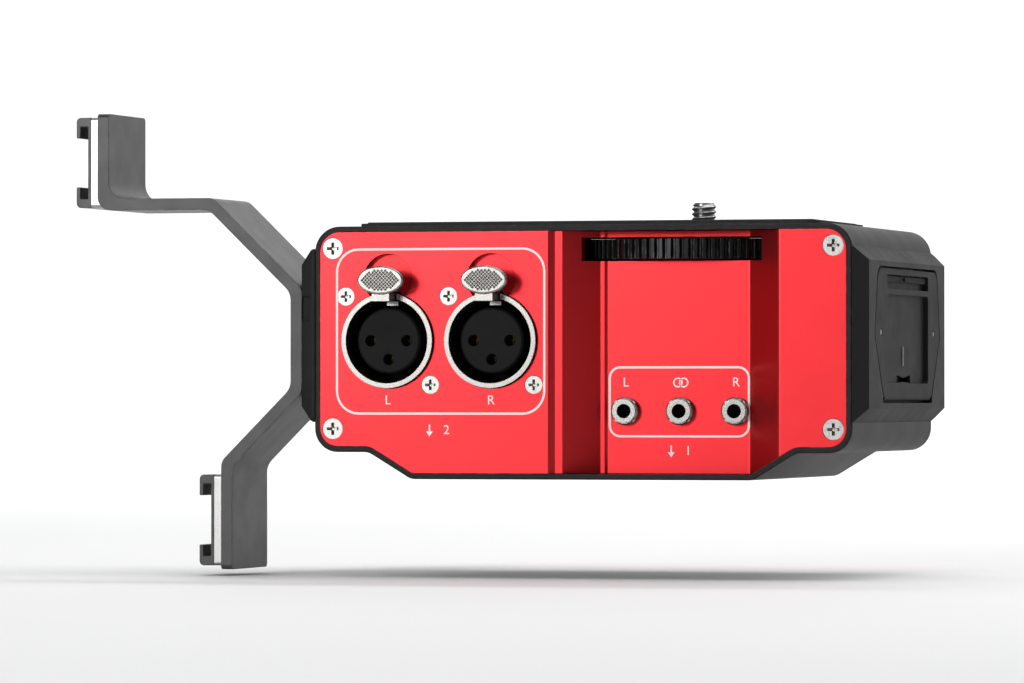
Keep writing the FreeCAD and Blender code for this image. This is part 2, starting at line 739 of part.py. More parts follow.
def side_cover_right():
    cover = chamfered_cover(1, COVER_T, COVER_CHAMFER)
    x_out = HALF_W + COVER_T
    ledge_x = x_out - DOOR_T - LEDGE_GAP
    pocket = prism(door_corners(DOOR_GAP), side(ledge_x), V(DOOR_T + OVER, 0, 0))
    window = block((HALF_W - OVER, x_out), (-BAY_Y, BAY_Y), (BAY_LOW, BAY_TOP))
    x_axis, z_axis = hinge_axis()
    pin_room = rod_y(x_axis, z_axis, PIN_R + PIN_SEAT_GAP, DOOR_Y - PIN_ROOM_HALF, DOOR_Y + PIN_ROOM_HALF)
    swing_room = block((ledge_x, x_out + OVER), (DOOR_Y - HINGE_ROOM, DOOR_Y + HINGE_ROOM),
                       (DOOR_LOW - DOOR_GAP, z_axis + SWING_RISE))
    cuts = [pocket, window, pin_room, swing_room] + cover_screw_holes()
    return cover.cut(cuts)


def side_cover_left():
    cover = chamfered_cover(-1, LEFT_COVER_T, LEFT_COVER_CHAMFER)
    x_out = -HALF_W - LEFT_COVER_T
    notch = block((x_out - OVER, x_out + NOTCH_X), (-HALF_D - OVER, -HALF_D + NOTCH_Y), NOTCH_Z)
    cuts = [notch] + cover_screw_holes()
    for z in BRACKET_SCREW_Z:
        cuts.append(rod_x(bracket_y(), z, BRACKET_TAP_R, x_out - OVER, x_out + BRACKET_TAP_L))
    return cover.cut(cuts)


# ================= battery =================

def battery_bay():
    x0 = BAY_FLOOR_X - BAY_WALL
    x1 = HALF_W - WALL - SCREW_GAP
    outer = block((x0, x1), (-BAY_Y - BAY_WALL, BAY_Y + BAY_WALL), (BAY_LOW - BAY_WALL, BAY_TOP + BAY_WALL))
    inner = block((BAY_FLOOR_X, x1 + OVER), (-BAY_Y, BAY_Y), (BAY_LOW, BAY_TOP))
    return outer.cut(inner)


def battery_9v():
    body = round_block(BATTERY_X, BATTERY_Y, BATTERY_Z, BATTERY_R, V(0, 1, 0))
    x = sum(BATTERY_X) / 2
    z = sum(BATTERY_Z) / 2
    y = BATTERY_Y[1]
    small = rod_y(x, z - SNAP_HALF, SNAP_SMALL_R, y - OVER, y + SNAP_H)
    large = rod_y(x, z + SNAP_HALF, SNAP_LARGE_R, y - OVER, y + SNAP_H)
    return joined([body, small, large])


def battery_contacts():
    x = sum(BATTERY_X) / 2
    y0 = BATTERY_Y[1] + SNAP_H
    plate_y = BAY_Y - CLIP_T
    contacts = []
    for sign in (-1, 1):
        z = sum(BATTERY_Z) / 2 + sign * SNAP_HALF
        plate = block((x - CLIP_HALF, x + CLIP_HALF), (plate_y, BAY_Y), (z - CLIP_HALF, z + CLIP_HALF))
        button = rod_y(x, z, CLIP_BUTTON_R, y0, plate_y + CLIP_T / 2)
        contacts.append(joined([plate, button]))
    return contacts


def door_span(half):
    """Limits along Y of something centred on the door."""
    return (DOOR_Y - half, DOOR_Y + half)


def battery_door():
    x_out = HALF_W + COVER_T
    x_in = x_out - DOOR_T
    x_axis, z_axis = hinge_axis()
    low = block((x_in - OVER, x_out + OVER), (-HALF_D, HALF_D), (0, z_axis))
    plate = prism(door_corners(0), side(x_in), V(DOOR_T, 0, 0)).cut(low)
    y0, y1 = door_span(DOOR_HALF[0] - KNUCKLE_END_GAP)
    knuckle = rod_y(x_axis, z_axis, DOOR_T / 2, y0, y1)
    finger = round_block((x_out - FINGER_DEPTH, x_out + OVER), (DOOR_Y + FINGER_Y[0], DOOR_Y + FINGER_Y[1]),
                         FINGER_Z, FINGER_DEPTH, V(1, 0, 0))
    slot = block((x_out - LATCH_DEPTH, x_out + OVER), door_span(LATCH_Y + LATCH_END_GAP), LATCH_SLOT_Z)
    tongue_way = block((x_out - LATCH_DEPTH, x_out - TONGUE_WAY_FRONT), door_span(TONGUE_WAY_HALF),
                       (TONGUE_LOW, DOOR_TOP + OVER))
    bow = prism([(DOOR_Y + y, z, 0) for y, z in BOW], side(x_in - OVER), V(DOOR_T + 2 * OVER, 0, 0))
    pits = [rod_x(y, PIP_Z, PIP_PIT_R, x_out - PIP_PIT_DEPTH, x_out + OVER) for y in door_span(PIP_Y)]
    bore = rod_y(x_axis, z_axis, PIN_R + PIN_RUN_GAP, -HALF_D, HALF_D)
    return joined([plate, knuckle]).cut([finger, slot, tongue_way, bow, bore] + pits)


def battery_latch():
    x_out = HALF_W + COVER_T
    back = x_out - LATCH_BACK
    bar = block((back, x_out - LATCH_FRONT), door_span(LATCH_Y), LATCH_Z)
    grip_x = (x_out - TONGUE_FRONT, x_out - GRIP_FRONT)
    tongue = block((back, grip_x[0]), door_span(TONGUE_HALF), (TONGUE_LOW, DOOR_TOP - TONGUE_TIP_GAP))
    grip = round_block(grip_x, door_span(GRIP_HALF), GRIP_Z, GRIP_R, V(1, 0, 0))
    return joined([bar, tongue, grip])


def battery_hinge_pin():
    x_axis, z_axis = hinge_axis()
    y0, y1 = door_span(PIN_HALF)
    return rod_y(x_axis, z_axis, PIN_R, y0, y1)


# ================= camera wheel =================

def toothed_outline(place, count, shares, crest, root):
    """Closed polygon of trapezium teeth; place maps an angle and a radius to a point."""
    points = []
    step = 2 * math.pi / count
    for i in range(count):
        for share, r in zip(shares, (root, crest, crest, root)):
            points.append(place((i + share) * step, r))
    return Part.Face(Part.makePolygon(points + points[:1]))


def camera_wheel():
    top = WHEEL_Z + WHEEL_T
    outline = toothed_outline(lambda a, r: V(WHEEL_X + r * math.cos(a), WHEEL_Y + r * math.sin(a), WHEEL_Z),
                              WHEEL_RIBS, WHEEL_RIB_SHARES, WHEEL_R, WHEEL_R - WHEEL_RIB_H)
    disc = outline.extrude(V(0, 0, WHEEL_T))
    hub = rod_z(WHEEL_X, WHEEL_Y, WHEEL_HUB_R, WHEEL_Z - HUB_DROP, WHEEL_Z + WHEEL_T / 2)
    dish = rod_z(WHEEL_X, WHEEL_Y, WHEEL_R - RIM_W, top - WHEEL_DISH, top + OVER)
    dish = dish.cut(rod_z(WHEEL_X, WHEEL_Y, WHEEL_HUB_R, WHEEL_Z, top + OVER))
    bore = rod_z(WHEEL_X, WHEEL_Y, STUD_R + COLLAR_GAP, 0, HEIGHT)
    return joined([disc, hub]).cut([dish, bore, hexagon(COLLAR_R + COLLAR_GAP)])


def hexagon(r):
    """Six-sided collar of the camera screw, or its seat in the top of the wheel."""
    points = []
    for i in range(7):
        a = i * math.pi / 3
        points.append(V(WHEEL_X + r * math.cos(a), WHEEL_Y + r * math.sin(a), WHEEL_Z + COLLAR_LOW))
    return Part.Face(Part.makePolygon(points)).extrude(V(0, 0, WHEEL_T - COLLAR_LOW))


def camera_screw():
    hub_low = WHEEL_Z - HUB_DROP
    wheel_top = WHEEL_Z + WHEEL_T
    shoulder = STUD_TOP - STUD_TIP
    pivot = rod_z(WHEEL_X, WHEEL_Y, PIVOT_R, CRADLE_Z - PIVOT_TAIL, hub_low)
    shank = rod_z(WHEEL_X, WHEEL_Y, STUD_R, hub_low, wheel_top)
    neck = rod_z(WHEEL_X, WHEEL_Y, NECK_R, wheel_top, STUD_LOW)
    thread = rod_z(WHEEL_X, WHEEL_Y, STUD_R, STUD_LOW, shoulder)
    tip = cone_between(V(WHEEL_X, WHEEL_Y, shoulder), V(WHEEL_X, WHEEL_Y, STUD_TOP),
                       STUD_R, STUD_R - STUD_TIP)
    return joined([pivot, shank, neck, thread, tip, hexagon(COLLAR_R)])


def wheel_cradle():
    corners = [(x, y, CRADLE_CORNER_R) for x, y in CRADLE_OUTLINE]
    plate = prism(corners, level(CRADLE_Z), V(0, 0, CRADLE_T))
    posts = [rod_z(x, y, CRADLE_POST_R, CRADLE_Z + CRADLE_T / 2, HEIGHT - WALL) for x, y in CRADLE_POSTS]
    seat = rod_z(WHEEL_X, WHEEL_Y, BEARING_R, 0, HEIGHT)
    return joined([plate] + posts).cut([seat] + cradle_screw_holes())


def wheel_bush():
    top = CRADLE_Z + CRADLE_T
    sleeve = rod_z(WHEEL_X, WHEEL_Y, BEARING_R, CRADLE_Z, top)
    flange = rod_z(WHEEL_X, WHEEL_Y, BEARING_FLANGE_R, top, top + BEARING_FLANGE_T)
    return joined([sleeve, flange]).cut(rod_z(WHEEL_X, WHEEL_Y, PIVOT_BORE_R, 0, HEIGHT))


def cradle_screws():
    way = V(0, 0, -1)
    return [flat_screw(V(x, y, HEIGHT - HEAD_SINK), way, M25_R, M25_HEAD_R, CRADLE_SCREW_L)
            for x, y in CRADLE_POSTS]


def cradle_screw_holes():
    way = V(0, 0, -1)
    return [flat_screw_hole(V(x, y, HEIGHT - HEAD_SINK), way, M25_R, M25_HEAD_R, CRADLE_SCREW_L)
            for x, y in CRADLE_POSTS]


# ================= XLR sockets =================

def xlr_shell(x):
    face_y = -HALF_D - XLR_PROUD
    back = -HALF_D + PANEL_T
    barrel = rod_y(x, XLR_Z, XLR_R, face_y, XLR_BACK_Y)
    corners = [(x + sx * FLANGE_HALF_W, XLR_Z + sz * FLANGE_HALF_H, FLANGE_R)
               for sx, sz in ((-1, -1), (1, -1), (1, 1), (-1, 1))]
    flange = prism(corners, front(back), V(0, FLANGE_T, 0))
    ears = []
    for sx, sz in ((-1, 1), (1, -1)):
        ears.append(rod_y(x + sx * XLR_SCREW, XLR_Z + sz * XLR_SCREW, EAR_R, back, back + EAR_T))
    shell = joined([barrel, flange] + ears)
    bore = rod_y(x, XLR_Z, XLR_BORE_R, face_y - OVER, XLR_BACK_Y - BACK_WALL)
    rear_hole = rod_y(x, XLR_Z, INSERT_R, XLR_BACK_Y - BACK_WALL - OVER, XLR_BACK_Y + OVER)
    neck = NECK_W / 2 + TRACK_ROOM
    track = block((x - neck, x + neck), (face_y - OVER, XLR_BACK_Y - 2 * BACK_WALL),
                  (NECK_LOW_Z - TRACK_HEADROOM, NECK_TOP_Z + TRACK_HEADROOM))
    return shell.cut([bore, rear_hole, track] + xlr_screw_holes())


def contact_spots(x):
    r = CONTACT_RING_R
    return [(x - r, XLR_Z), (x + r, XLR_Z), (x, XLR_Z - r)]


def xlr_insert(x):
    base_y = XLR_BACK_Y - BACK_WALL
    post = rod_y(x, XLR_Z, INSERT_R, INSERT_FRONT_Y, XLR_BACK_Y)
    base = rod_y(x, XLR_Z, XLR_BORE_R, base_y - INSERT_BASE_T, base_y)
    insert = joined([post, base])
    rim = [e for e in insert.Edges if abs(e.CenterOfMass.y - INSERT_FRONT_Y) < 1e-3]
    insert = insert.makeChamfer(INSERT_CHAMFER, rim)
    y0 = INSERT_FRONT_Y - OVER
    y1 = XLR_BACK_Y + OVER
    return insert.cut([rod_y(cx, cz, CONTACT_BORE_R, y0, y1) for cx, cz in contact_spots(x)])


def xlr_contacts(x):
    """Three tubes that take a plug's pins, each with a solder tail."""
    mouth = INSERT_FRONT_Y + CONTACT_DEEP
    contacts = []
    for cx, cz in contact_spots(x):
        tube = rod_y(cx, cz, CONTACT_BORE_R, mouth, XLR_BACK_Y)
        tube = tube.cut(rod_y(cx, cz, CONTACT_R, mouth - OVER, XLR_BACK_Y - CONTACT_FOOT))
        tail = rod_y(cx, cz, CONTACT_TAIL_R, XLR_BACK_Y - CONTACT_FOOT / 2, XLR_BACK_Y + CONTACT_TAIL_L)
        contacts.append(joined([tube, tail]))
    return contacts


def oval(x, z, width, height, y, depth):
    """Ellipse in a vertical plane, extruded backwards."""
    curve = Part.Ellipse(V(x + width / 2, y, z), V(x, y, z + height / 2), V(x, y, z))
    return Part.Face(Part.Wire(curve.toShape())).extrude(V(0, depth, 0))


def xlr_tab(x):
    button = oval(x, TAB_Z, TAB_W, TAB_H, TAB_FRONT_Y, TAB_T)
    rim = [e for e in button.Edges if abs(e.CenterOfMass.y - TAB_FRONT_Y) < 1e-3]
    button = button.makeFillet(TAB_RIM_R, rim)
    wide = (x - NECK_W / 2, x + NECK_W / 2)
    neck = block(wide, (TAB_FRONT_Y + TAB_RIM_R, NECK_END_Y), (NECK_LOW_Z, NECK_TOP_Z))
    riser = block(wide, (TAB_FRONT_Y + TAB_RIM_R, TAB_FRONT_Y + TAB_T), (NECK_LOW_Z, TAB_Z))
    tooth = block((x - TOOTH_HALF, x + TOOTH_HALF), TOOTH_Y, (NECK_LOW_Z - TOOTH_DROP, NECK_TOP_Z))
    return joined([button, neck, riser, tooth])


# ================= jacks =================

def span(a, b):
    return (min(a, b), max(a, b))


def jack_body(x, z, face_y, way):
    """Threaded 3.5 mm jack; way is +1 when it opens to the front, -1 to the rear."""
    tip = face_y - way * JACK_PROUD
    wall = face_y + way * (TROUGH_T if way > 0 else PANEL_T)
    stop = tip + way * JACK_DEEP
    half = JACK_BODY / 2
    y0, y1 = span(tip, wall + way * OVER)
    bush = rod_y(x, z, JACK_BUSH_R, y0, y1)
    case = block((x - half, x + half), span(wall, stop + way * JACK_TAIL), (z - half, z + half))
    y0, y1 = span(tip - way * OVER, stop)
    return joined([bush, case]).cut(rod_y(x, z, JACK_BORE_R, y0, y1))


def jack_nut(x, z, face_y, way):
    far = face_y - way * JACK_NUT_T
    y0, y1 = span(face_y, far)
    ring = rod_y(x, z, JACK_NUT_R, y0, y1)
    rim = [e for e in ring.Edges if abs(e.CenterOfMass.y - far) < 1e-3]
    ring = ring.makeChamfer(NUT_CHAMFER, rim)
    cuts = [rod_y(x, z, JACK_BUSH_R + SCREW_GAP, y0 - OVER, y1 + OVER)]
    reach = JACK_NUT_R + OVER
    for angle in (45, 135):
        slot = block((x - reach, x + reach), (far - NUT_SLOT, far + NUT_SLOT),
                     (z - NUT_SLOT_HALF, z + NUT_SLOT_HALF))
        slot.rotate(V(x, 0, z), V(0, 1, 0), angle)
        cuts.append(slot)
    return ring.cut(cuts)


# ================= rear controls =================

def knob(name):
    """Fluted knob with a plain skirt, and the shaft pressed into it."""
    x = KNOB_X[name]
    r = KNOB_R[name]
    y0 = HALF_D + KNOB_GAP
    skirt_y = y0 + SKIRT_H
    top = y0 + KNOB_H
    outline = toothed_outline(lambda a, rho: V(x + rho * math.cos(a), skirt_y, KNOB_Z + rho * math.sin(a)),
                              KNOB_FLUTES, FLUTE_SHARES, r, r - FLUTE_DEPTH)
    grip = outline.extrude(V(0, KNOB_H - SKIRT_H, 0))
    crown = cone_between(V(x, top - CROWN_H, KNOB_Z), V(x, top, KNOB_Z), r + CROWN_H - CROWN_IN, r - CROWN_IN)
    lower = rod_y(x, KNOB_Z, r + OVER, y0, top - CROWN_H)
    grip = grip.common(joined([lower, crown]))
    skirt = rod_y(x, KNOB_Z, r, y0, skirt_y)
    pointer = block((x - POINTER_HALF, x + POINTER_HALF), (top - POINTER_DEPTH, top + OVER),
                    (KNOB_Z + r * POINTER_START, KNOB_Z + r + OVER))
    socket = rod_y(x, KNOB_Z, SHAFT_R, y0 - OVER, y0 + SHAFT_L)
    shaft = rod_y(x, KNOB_Z, SHAFT_R, HALF_D - PANEL_T - SHAFT_TAIL, y0 + SHAFT_L)
    return [joined([grip, skirt]).cut([pointer, socket]), shaft]


def control_pot(name):
    x = KNOB_X[name]
    inner = HALF_D - PANEL_T
    case = rod_y(x, KNOB_Z, POT_R, inner - POT_Y[1], inner - POT_Y[0])
    collar = rod_y(x, KNOB_Z, POT_COLLAR_R, inner - POT_COLLAR_L, inner)
    leg_y = (inner - POT_LEG_Y[1], inner - POT_LEG_Y[0])
    leg_z = (KNOB_Z - POT_LEG_DROP[1], KNOB_Z - POT_LEG_DROP[0])
    legs = [block((x + dx - POT_LEG_HALF, x + dx + POT_LEG_HALF), leg_y, leg_z) for dx in POT_LEGS]
    bore = rod_y(x, KNOB_Z, SHAFT_R + SCREW_GAP, inner - POT_BORE_L, inner + OVER)
    room = rod_y(x, KNOB_Z, SHAFT_R + POT_ROOM_GAP, inner - POT_BORE_L, inner - POT_ROOM_L)
    return joined([case, collar] + legs).cut([bore, room])


def switch_body(x):
    inner = HALF_D - PANEL_T
    half_w, deep, half_h = SWITCH_CASE
    case = block((x - half_w, x + half_w), (inner - deep, inner), (SWITCH_Z - half_h, SWITCH_Z + half_h))
    half_w, deep, half_h = SWITCH_ROOM
    room = block((x - half_w, x + half_w), (inner - deep, inner + OVER),
                 (SWITCH_Z - half_h, SWITCH_Z + half_h))
    return case.cut(room)


def switch_slider(name):
    x = SWITCH_X[name] - SWITCH_TRAVEL / 2
    half_w, half_h = SLIDER_HALF
    tip = HALF_D + SLIDER_PROUD
    button = round_block((x - half_w, x + half_w), (HALF_D - PANEL_T - SLIDER_DEEP, tip),
                         (SWITCH_Z - half_h, SWITCH_Z + half_h), SLIDER_R, V(0, 1, 0))
    grooves = []
    for dx in GROOVES:
        grooves.append(block((x + dx - GROOVE_HALF, x + dx + GROOVE_HALF), (tip - GROOVE_DEPTH, tip + OVER),
                             (SWITCH_Z - half_h - OVER, SWITCH_Z + half_h + OVER)))
    return button.cut(grooves)


def meter_block(gap, depth):
    """The meter's rounded opening, drawn in by gap, between two depths."""
    half_w = METER_W / 2 - gap
    half_h = METER_H / 2 - gap
    return round_block((METER_X - half_w, METER_X + half_w), depth, (METER_Z - half_h, METER_Z + half_h),
                       METER_R - gap, V(0, 1, 0))


def meter_window():
    return meter_block(METER_GAP, (HALF_D - METER_PANE[1], HALF_D - METER_PANE[0]))


def meter_leds():
    leds = []
    first = METER_X - LAMP_PITCH * (LAMP_COUNT - 1) / 2
    for row in LAMP_ROWS:
        for i in range(LAMP_COUNT):
            x = first + i * LAMP_PITCH
            leds.append(rod_y(x, METER_Z + row, LAMP_R, HALF_D - LAMP_BACK, HALF_D - METER_PANE[1]))
    return leds


def meter_board():
    half_w, thick, half_h = METER_BOARD
    y1 = HALF_D - LAMP_BACK
    return block((METER_X - half_w, METER_X + half_w), (y1 - thick, y1), (METER_Z - half_h, METER_Z + half_h))


def power_led():
    x = SWITCH_X["power"]
    z = SWITCH_Z + POWER_LED_UP
    dome = Part.makeSphere(POWER_LED_R, V(x, HALF_D, z))
    stem = rod_y(x, z, POWER_LED_R, HALF_D - LAMP_BACK, HALF_D)
    return joined([dome, stem])


# ================= base, pad and boards =================

def tripod_bush():
    seat = WALL + STIFFENER_T
    tube = rod_z(0, 0, BUSH_R, 0, SOCKET_DEPTH)
    flange = rod_z(0, 0, BUSH_FLANGE_R, seat, seat + BUSH_FLANGE_T)
    return joined([tube, flange]).cut(rod_z(0, 0, SOCKET_R, -OVER, SOCKET_DEPTH + OVER))


def base_stiffener():
    z = (WALL, WALL + STIFFENER_T)
    plate = round_block((-STIFFENER_X, STIFFENER_X), (-STIFFENER_Y, STIFFENER_Y), z, STIFFENER_R, V(0, 0, 1))
    return plate.cut(rod_z(0, 0, BUSH_R + SCREW_GAP, 0, HEIGHT))


def top_pad():
    pad = round_block(PAD_X, PAD_Y, (HEIGHT, HEIGHT + PAD_T), PAD_R, V(0, 0, 1))
    return pad.cut(rod_z(WHEEL_X, WHEEL_Y, PAD_HOLE_R, 0, HEIGHT + PAD_T + OVER))


def main_board():
    top = BOARD_Z + BOARD_T
    board = block(BOARD_X, BOARD_Y, (BOARD_Z, top))
    chips = []
    for x, y, w, d in CHIPS:
        chips.append(block((x - w / 2, x + w / 2), (y - d / 2, y + d / 2), (BOARD_Z, top + CHIP_H)))
    return joined([board] + chips).cut([rod_z(x, y, BOARD_HOLE_R, 0, HEIGHT) for x, y in BOARD_SPOTS])


def board_standoffs():
    posts = []
    for x, y in BOARD_SPOTS:
        low = rod_z(x, y, STANDOFF_R, WALL, BOARD_Z)
        peg = rod_z(x, y, PEG_R, BOARD_Z / 2, BOARD_Z + BOARD_T + PEG_PROUD)
        posts.append(joined([low, peg]))
    return posts


def input_transformers():
    low = BOARD_Z + BOARD_T
    return [round_block((x - CAN_HALF, x + CAN_HALF), CAN_Y, (low, low + CAN_H), CAN_R, V(0, 0, 1))
            for x in XLR_X.values()]


def board_capacitors():
    low = BOARD_Z + BOARD_T
    return [rod_z(x, y, r, low, low + h) for x, y, r, h in CAPACITORS]


# ================= bracket and shoes =================

def bracket_y():
    return sum(BRACKET_Y) / 2


def unit(a, b):
    length = math.hypot(b[0] - a[0], b[1] - a[1])
    return ((b[0] - a[0]) / length, (b[1] - a[1]) / length)


def offset_line(points, distance):
    """Same line moved sideways, to the left of its direction of travel."""
    moved = []
    last = len(points) - 1
    for i in range(len(points)):
        ways = []
        if i > 0:
            ways.append(unit(points[i - 1], points[i]))
        if i < last:
            ways.append(unit(points[i], points[i + 1]))
        normal_x = -sum(w[1] for w in ways) / len(ways)
        normal_z = sum(w[0] for w in ways) / len(ways)
        size = normal_x * normal_x + normal_z * normal_z
        moved.append((points[i][0] + distance * normal_x / size, points[i][1] + distance * normal_z / size))
    return moved


def turn(a, b, c):
    """Positive where the line a-b-c turns left."""
    return (b[0] - a[0]) * (c[1] - b[1]) - (b[1] - a[1]) * (c[0] - b[0])


def bracket_strip():
    left = BRACKET_LINE
    right = offset_line(left, BRACKET_T)
    corners_left = []
    corners_right = []
    for i in range(len(left)):
        if i in (0, len(left) - 1):
            radii = (0.0, 0.0)
        elif turn(left[i - 1], left[i], left[i + 1]) > 0:
            radii = (BRACKET_OUTER, BRACKET_BEND)
        else:
            radii = (BRACKET_BEND, BRACKET_OUTER)
        corners_left.append((left[i][0], left[i][1], radii[0]))
        corners_right.append((right[i][0], right[i][1], radii[1]))
    corners = corners_left + list(reversed(corners_right))
    y0, y1 = BRACKET_Y
    strip = prism(corners, front(y0), V(0, y1 - y0, 0))
    free = []
    for edge in strip.Edges:
        way = edge.tangentAt(edge.FirstParameter)
        z = edge.CenterOfMass.z
        at_end = min(abs(z - left[0][1]), abs(z - left[-1][1])) < 0.1
        if abs(way.x) > 0.99 and at_end:
            free.append(edge)
    strip = strip.makeFillet(BRACKET_END_R, free)
    cuts = []
    for z in BRACKET_SCREW_Z:
        cuts.append(rod_x(bracket_y(), z, BRACKET_HOLE_R, -HALF_W - LEFT_COVER_T - BRACKET_T - OVER, -HALF_W))
    cuts += shoe_screw_holes()
    return strip.cut(cuts)


def bracket_screws():
    """Round-headed screws with a socket for a key."""
    y = bracket_y()
    face = -HALF_W - LEFT_COVER_T - BRACKET_T
    tip = face - BRACKET_HEAD_T
    screws = []
    for z in BRACKET_SCREW_Z:
        head = rod_x(y, z, BRACKET_HEAD_R, tip, face)
        rim = [e for e in head.Edges if abs(e.CenterOfMass.x - tip) < 1e-3]
        head = head.makeFillet(BRACKET_HEAD_ROUND, rim)
        shank = rod_x(y, z, BRACKET_SCREW_R, face - BRACKET_HEAD_T / 4, face + BRACKET_T + BRACKET_SCREW_L)
        points = []
        for i in range(7):
            a = i * math.pi / 3
            points.append(V(tip - OVER, y + HEX_R * math.cos(a), z + HEX_R * math.sin(a)))
        socket = Part.Face(Part.makePolygon(points)).extrude(V(HEX_DEPTH + OVER, 0, 0))
        screws.append(joined([head, shank]).cut(socket))
    return screws


def shoe_screw_spots():
    spots = []
    for name in SHOE_Z:
        for y in SHOE_SCREW_Y:
            spots.append((name, y))
    return spots


def shoe_screw_tip(name):
    return SHOE_FACE_X[name] - SHOE_PLATE_T - SHOE_FLOOR_T + HEAD_SINK


def shoe_screws():
    way = V(1, 0, 0)
    return [flat_screw(V(shoe_screw_tip(n), y, SHOE_Z[n]), way, M25_R, M25_HEAD_R, SHOE_SCREW_L)
            for n, y in shoe_screw_spots()]


def shoe_screw_holes():
    way = V(1, 0, 0)
    spots = shoe_screw_spots()
    return [flat_screw_hole(V(shoe_screw_tip(n), y, SHOE_Z[n]), way, M25_R, M25_HEAD_R, SHOE_SCREW_L)
            for n, y in spots]


def shoe_plate(name):
    x1 = SHOE_FACE_X[name]
    z = SHOE_Z[name]
    plate = round_block((x1 - SHOE_PLATE_T, x1), SHOE_Y, (z - SHOE_HALF, z + SHOE_HALF),
                        SHOE_PLATE_R, V(1, 0, 0))
    return plate.cut(shoe_screw_holes())


def shoe(name):
    """C-section that a standard accessory foot slides into, open at both ends."""
    x1 = SHOE_FACE_X[name] - SHOE_PLATE_T
    z = SHOE_Z[name]
    x_floor = x1 - SHOE_FLOOR_T
    x_lip = x_floor - SHOE_SLOT_T
    x_out = x_lip - SHOE_LIP_T
    corners = [(x1, z - SHOE_HALF, 0), (x_out, z - SHOE_HALF, SHOE_EDGE_R),
               (x_out, z - SHOE_MOUTH_HALF, SHOE_LIP_R), (x_lip, z - SHOE_MOUTH_HALF, 0),
               (x_lip, z - SHOE_SLOT_HALF, SHOE_CORNER_R), (x_floor, z - SHOE_SLOT_HALF, SHOE_CORNER_R)]
    mirrored = [(x, 2 * z - v, r) for x, v, r in reversed(corners)]
    channel = prism(corners + mirrored, front(SHOE_Y[0]), V(0, SHOE_Y[1] - SHOE_Y[0], 0))
    return channel.cut(shoe_screw_holes())


# ================= all nodes =================

def export_housing():
    export("chassis_shell", chassis_shell())
    export("front_panel", front_panel())
    export("rear_panel", rear_panel())
    export("panel_screws", corner_screws(-HALF_D, V(0, 1, 0)) + corner_screws(HALF_D, V(0, -1, 0)))
    export("side_cover_right", side_cover_right())
    export("side_cover_left", side_cover_left())
    export("side_cover_screws", cover_screws())
    export("top_pad", top_pad())
    export("tripod_bush", tripod_bush())
    export("base_stiffener", base_stiffener())


def export_battery():
    export("battery_bay", battery_bay())
    export("battery_9v", battery_9v())
    export("battery_contacts", battery_contacts())
    export("battery_door", battery_door())
    export("battery_latch", battery_latch())
    export("battery_hinge_pin", battery_hinge_pin())


def export_wheel():
    export("camera_wheel", camera_wheel())
    export("camera_screw", camera_screw())
    export("wheel_cradle", wheel_cradle())
    export("wheel_bush", wheel_bush())
    export("cradle_screws", cradle_screws())


def export_sockets():
    for name, x in XLR_X.items():
        export("xlr_shell_" + name, xlr_shell(x))
        export("xlr_insert_" + name, xlr_insert(x))
        export("xlr_tab_" + name, xlr_tab(x))
    export("xlr_contacts", xlr_contacts(XLR_X["left"]) + xlr_contacts(XLR_X["right"]))
    export("xlr_screws", xlr_screws())
    for name, x in JACK_X.items():
        export("mini_jack_" + name, jack_body(x, JACK_Z, FLOOR_Y, 1))
    export("mini_jack_nuts", [jack_nut(x, JACK_Z, FLOOR_Y, 1) for x in JACK_X.values()])
    export("output_jack", jack_body(OUTPUT_X, OUTPUT_Z, HALF_D, -1))
    export("headphone_jack", jack_body(PHONES_X, PHONES_Z, HALF_D, -1))
    rear_nuts = [jack_nut(OUTPUT_X, OUTPUT_Z, HALF_D, -1), jack_nut(PHONES_X, PHONES_Z, HALF_D, -1)]
    export("rear_jack_nuts", rear_nuts)


def export_controls():
    for name in KNOB_X:
        export("knob_" + name, knob(name))
        export("pot_" + name, control_pot(name))
    for name in SWITCH_X:
        export(name + "_slider", switch_slider(name))
    export("switch_bodies", [switch_body(x) for x in SWITCH_X.values()])
    export("meter_window", meter_window())
    export("level_meter", [meter_board()] + meter_leds())
    export("power_led", power_led())


def export_inside():
    export("main_board", main_board())
    export("board_standoffs", board_standoffs())
    export("input_transformers", input_transformers())
    export("board_capacitors", board_capacitors())


def export_bracket():
    export("bracket_strip", bracket_strip())
    export("bracket_screws", bracket_screws())
    for name in SHOE_Z:
        export("shoe_plate_" + name, shoe_plate(name))
        export("shoe_" + name, shoe(name))
    export("shoe_screws", shoe_screws())


export_housing()
export_battery()
export_wheel()
export_sockets()
export_controls()
export_inside()
export_bracket()
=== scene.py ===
import math

import bmesh
import bpy
from mathutils import Matrix, Vector


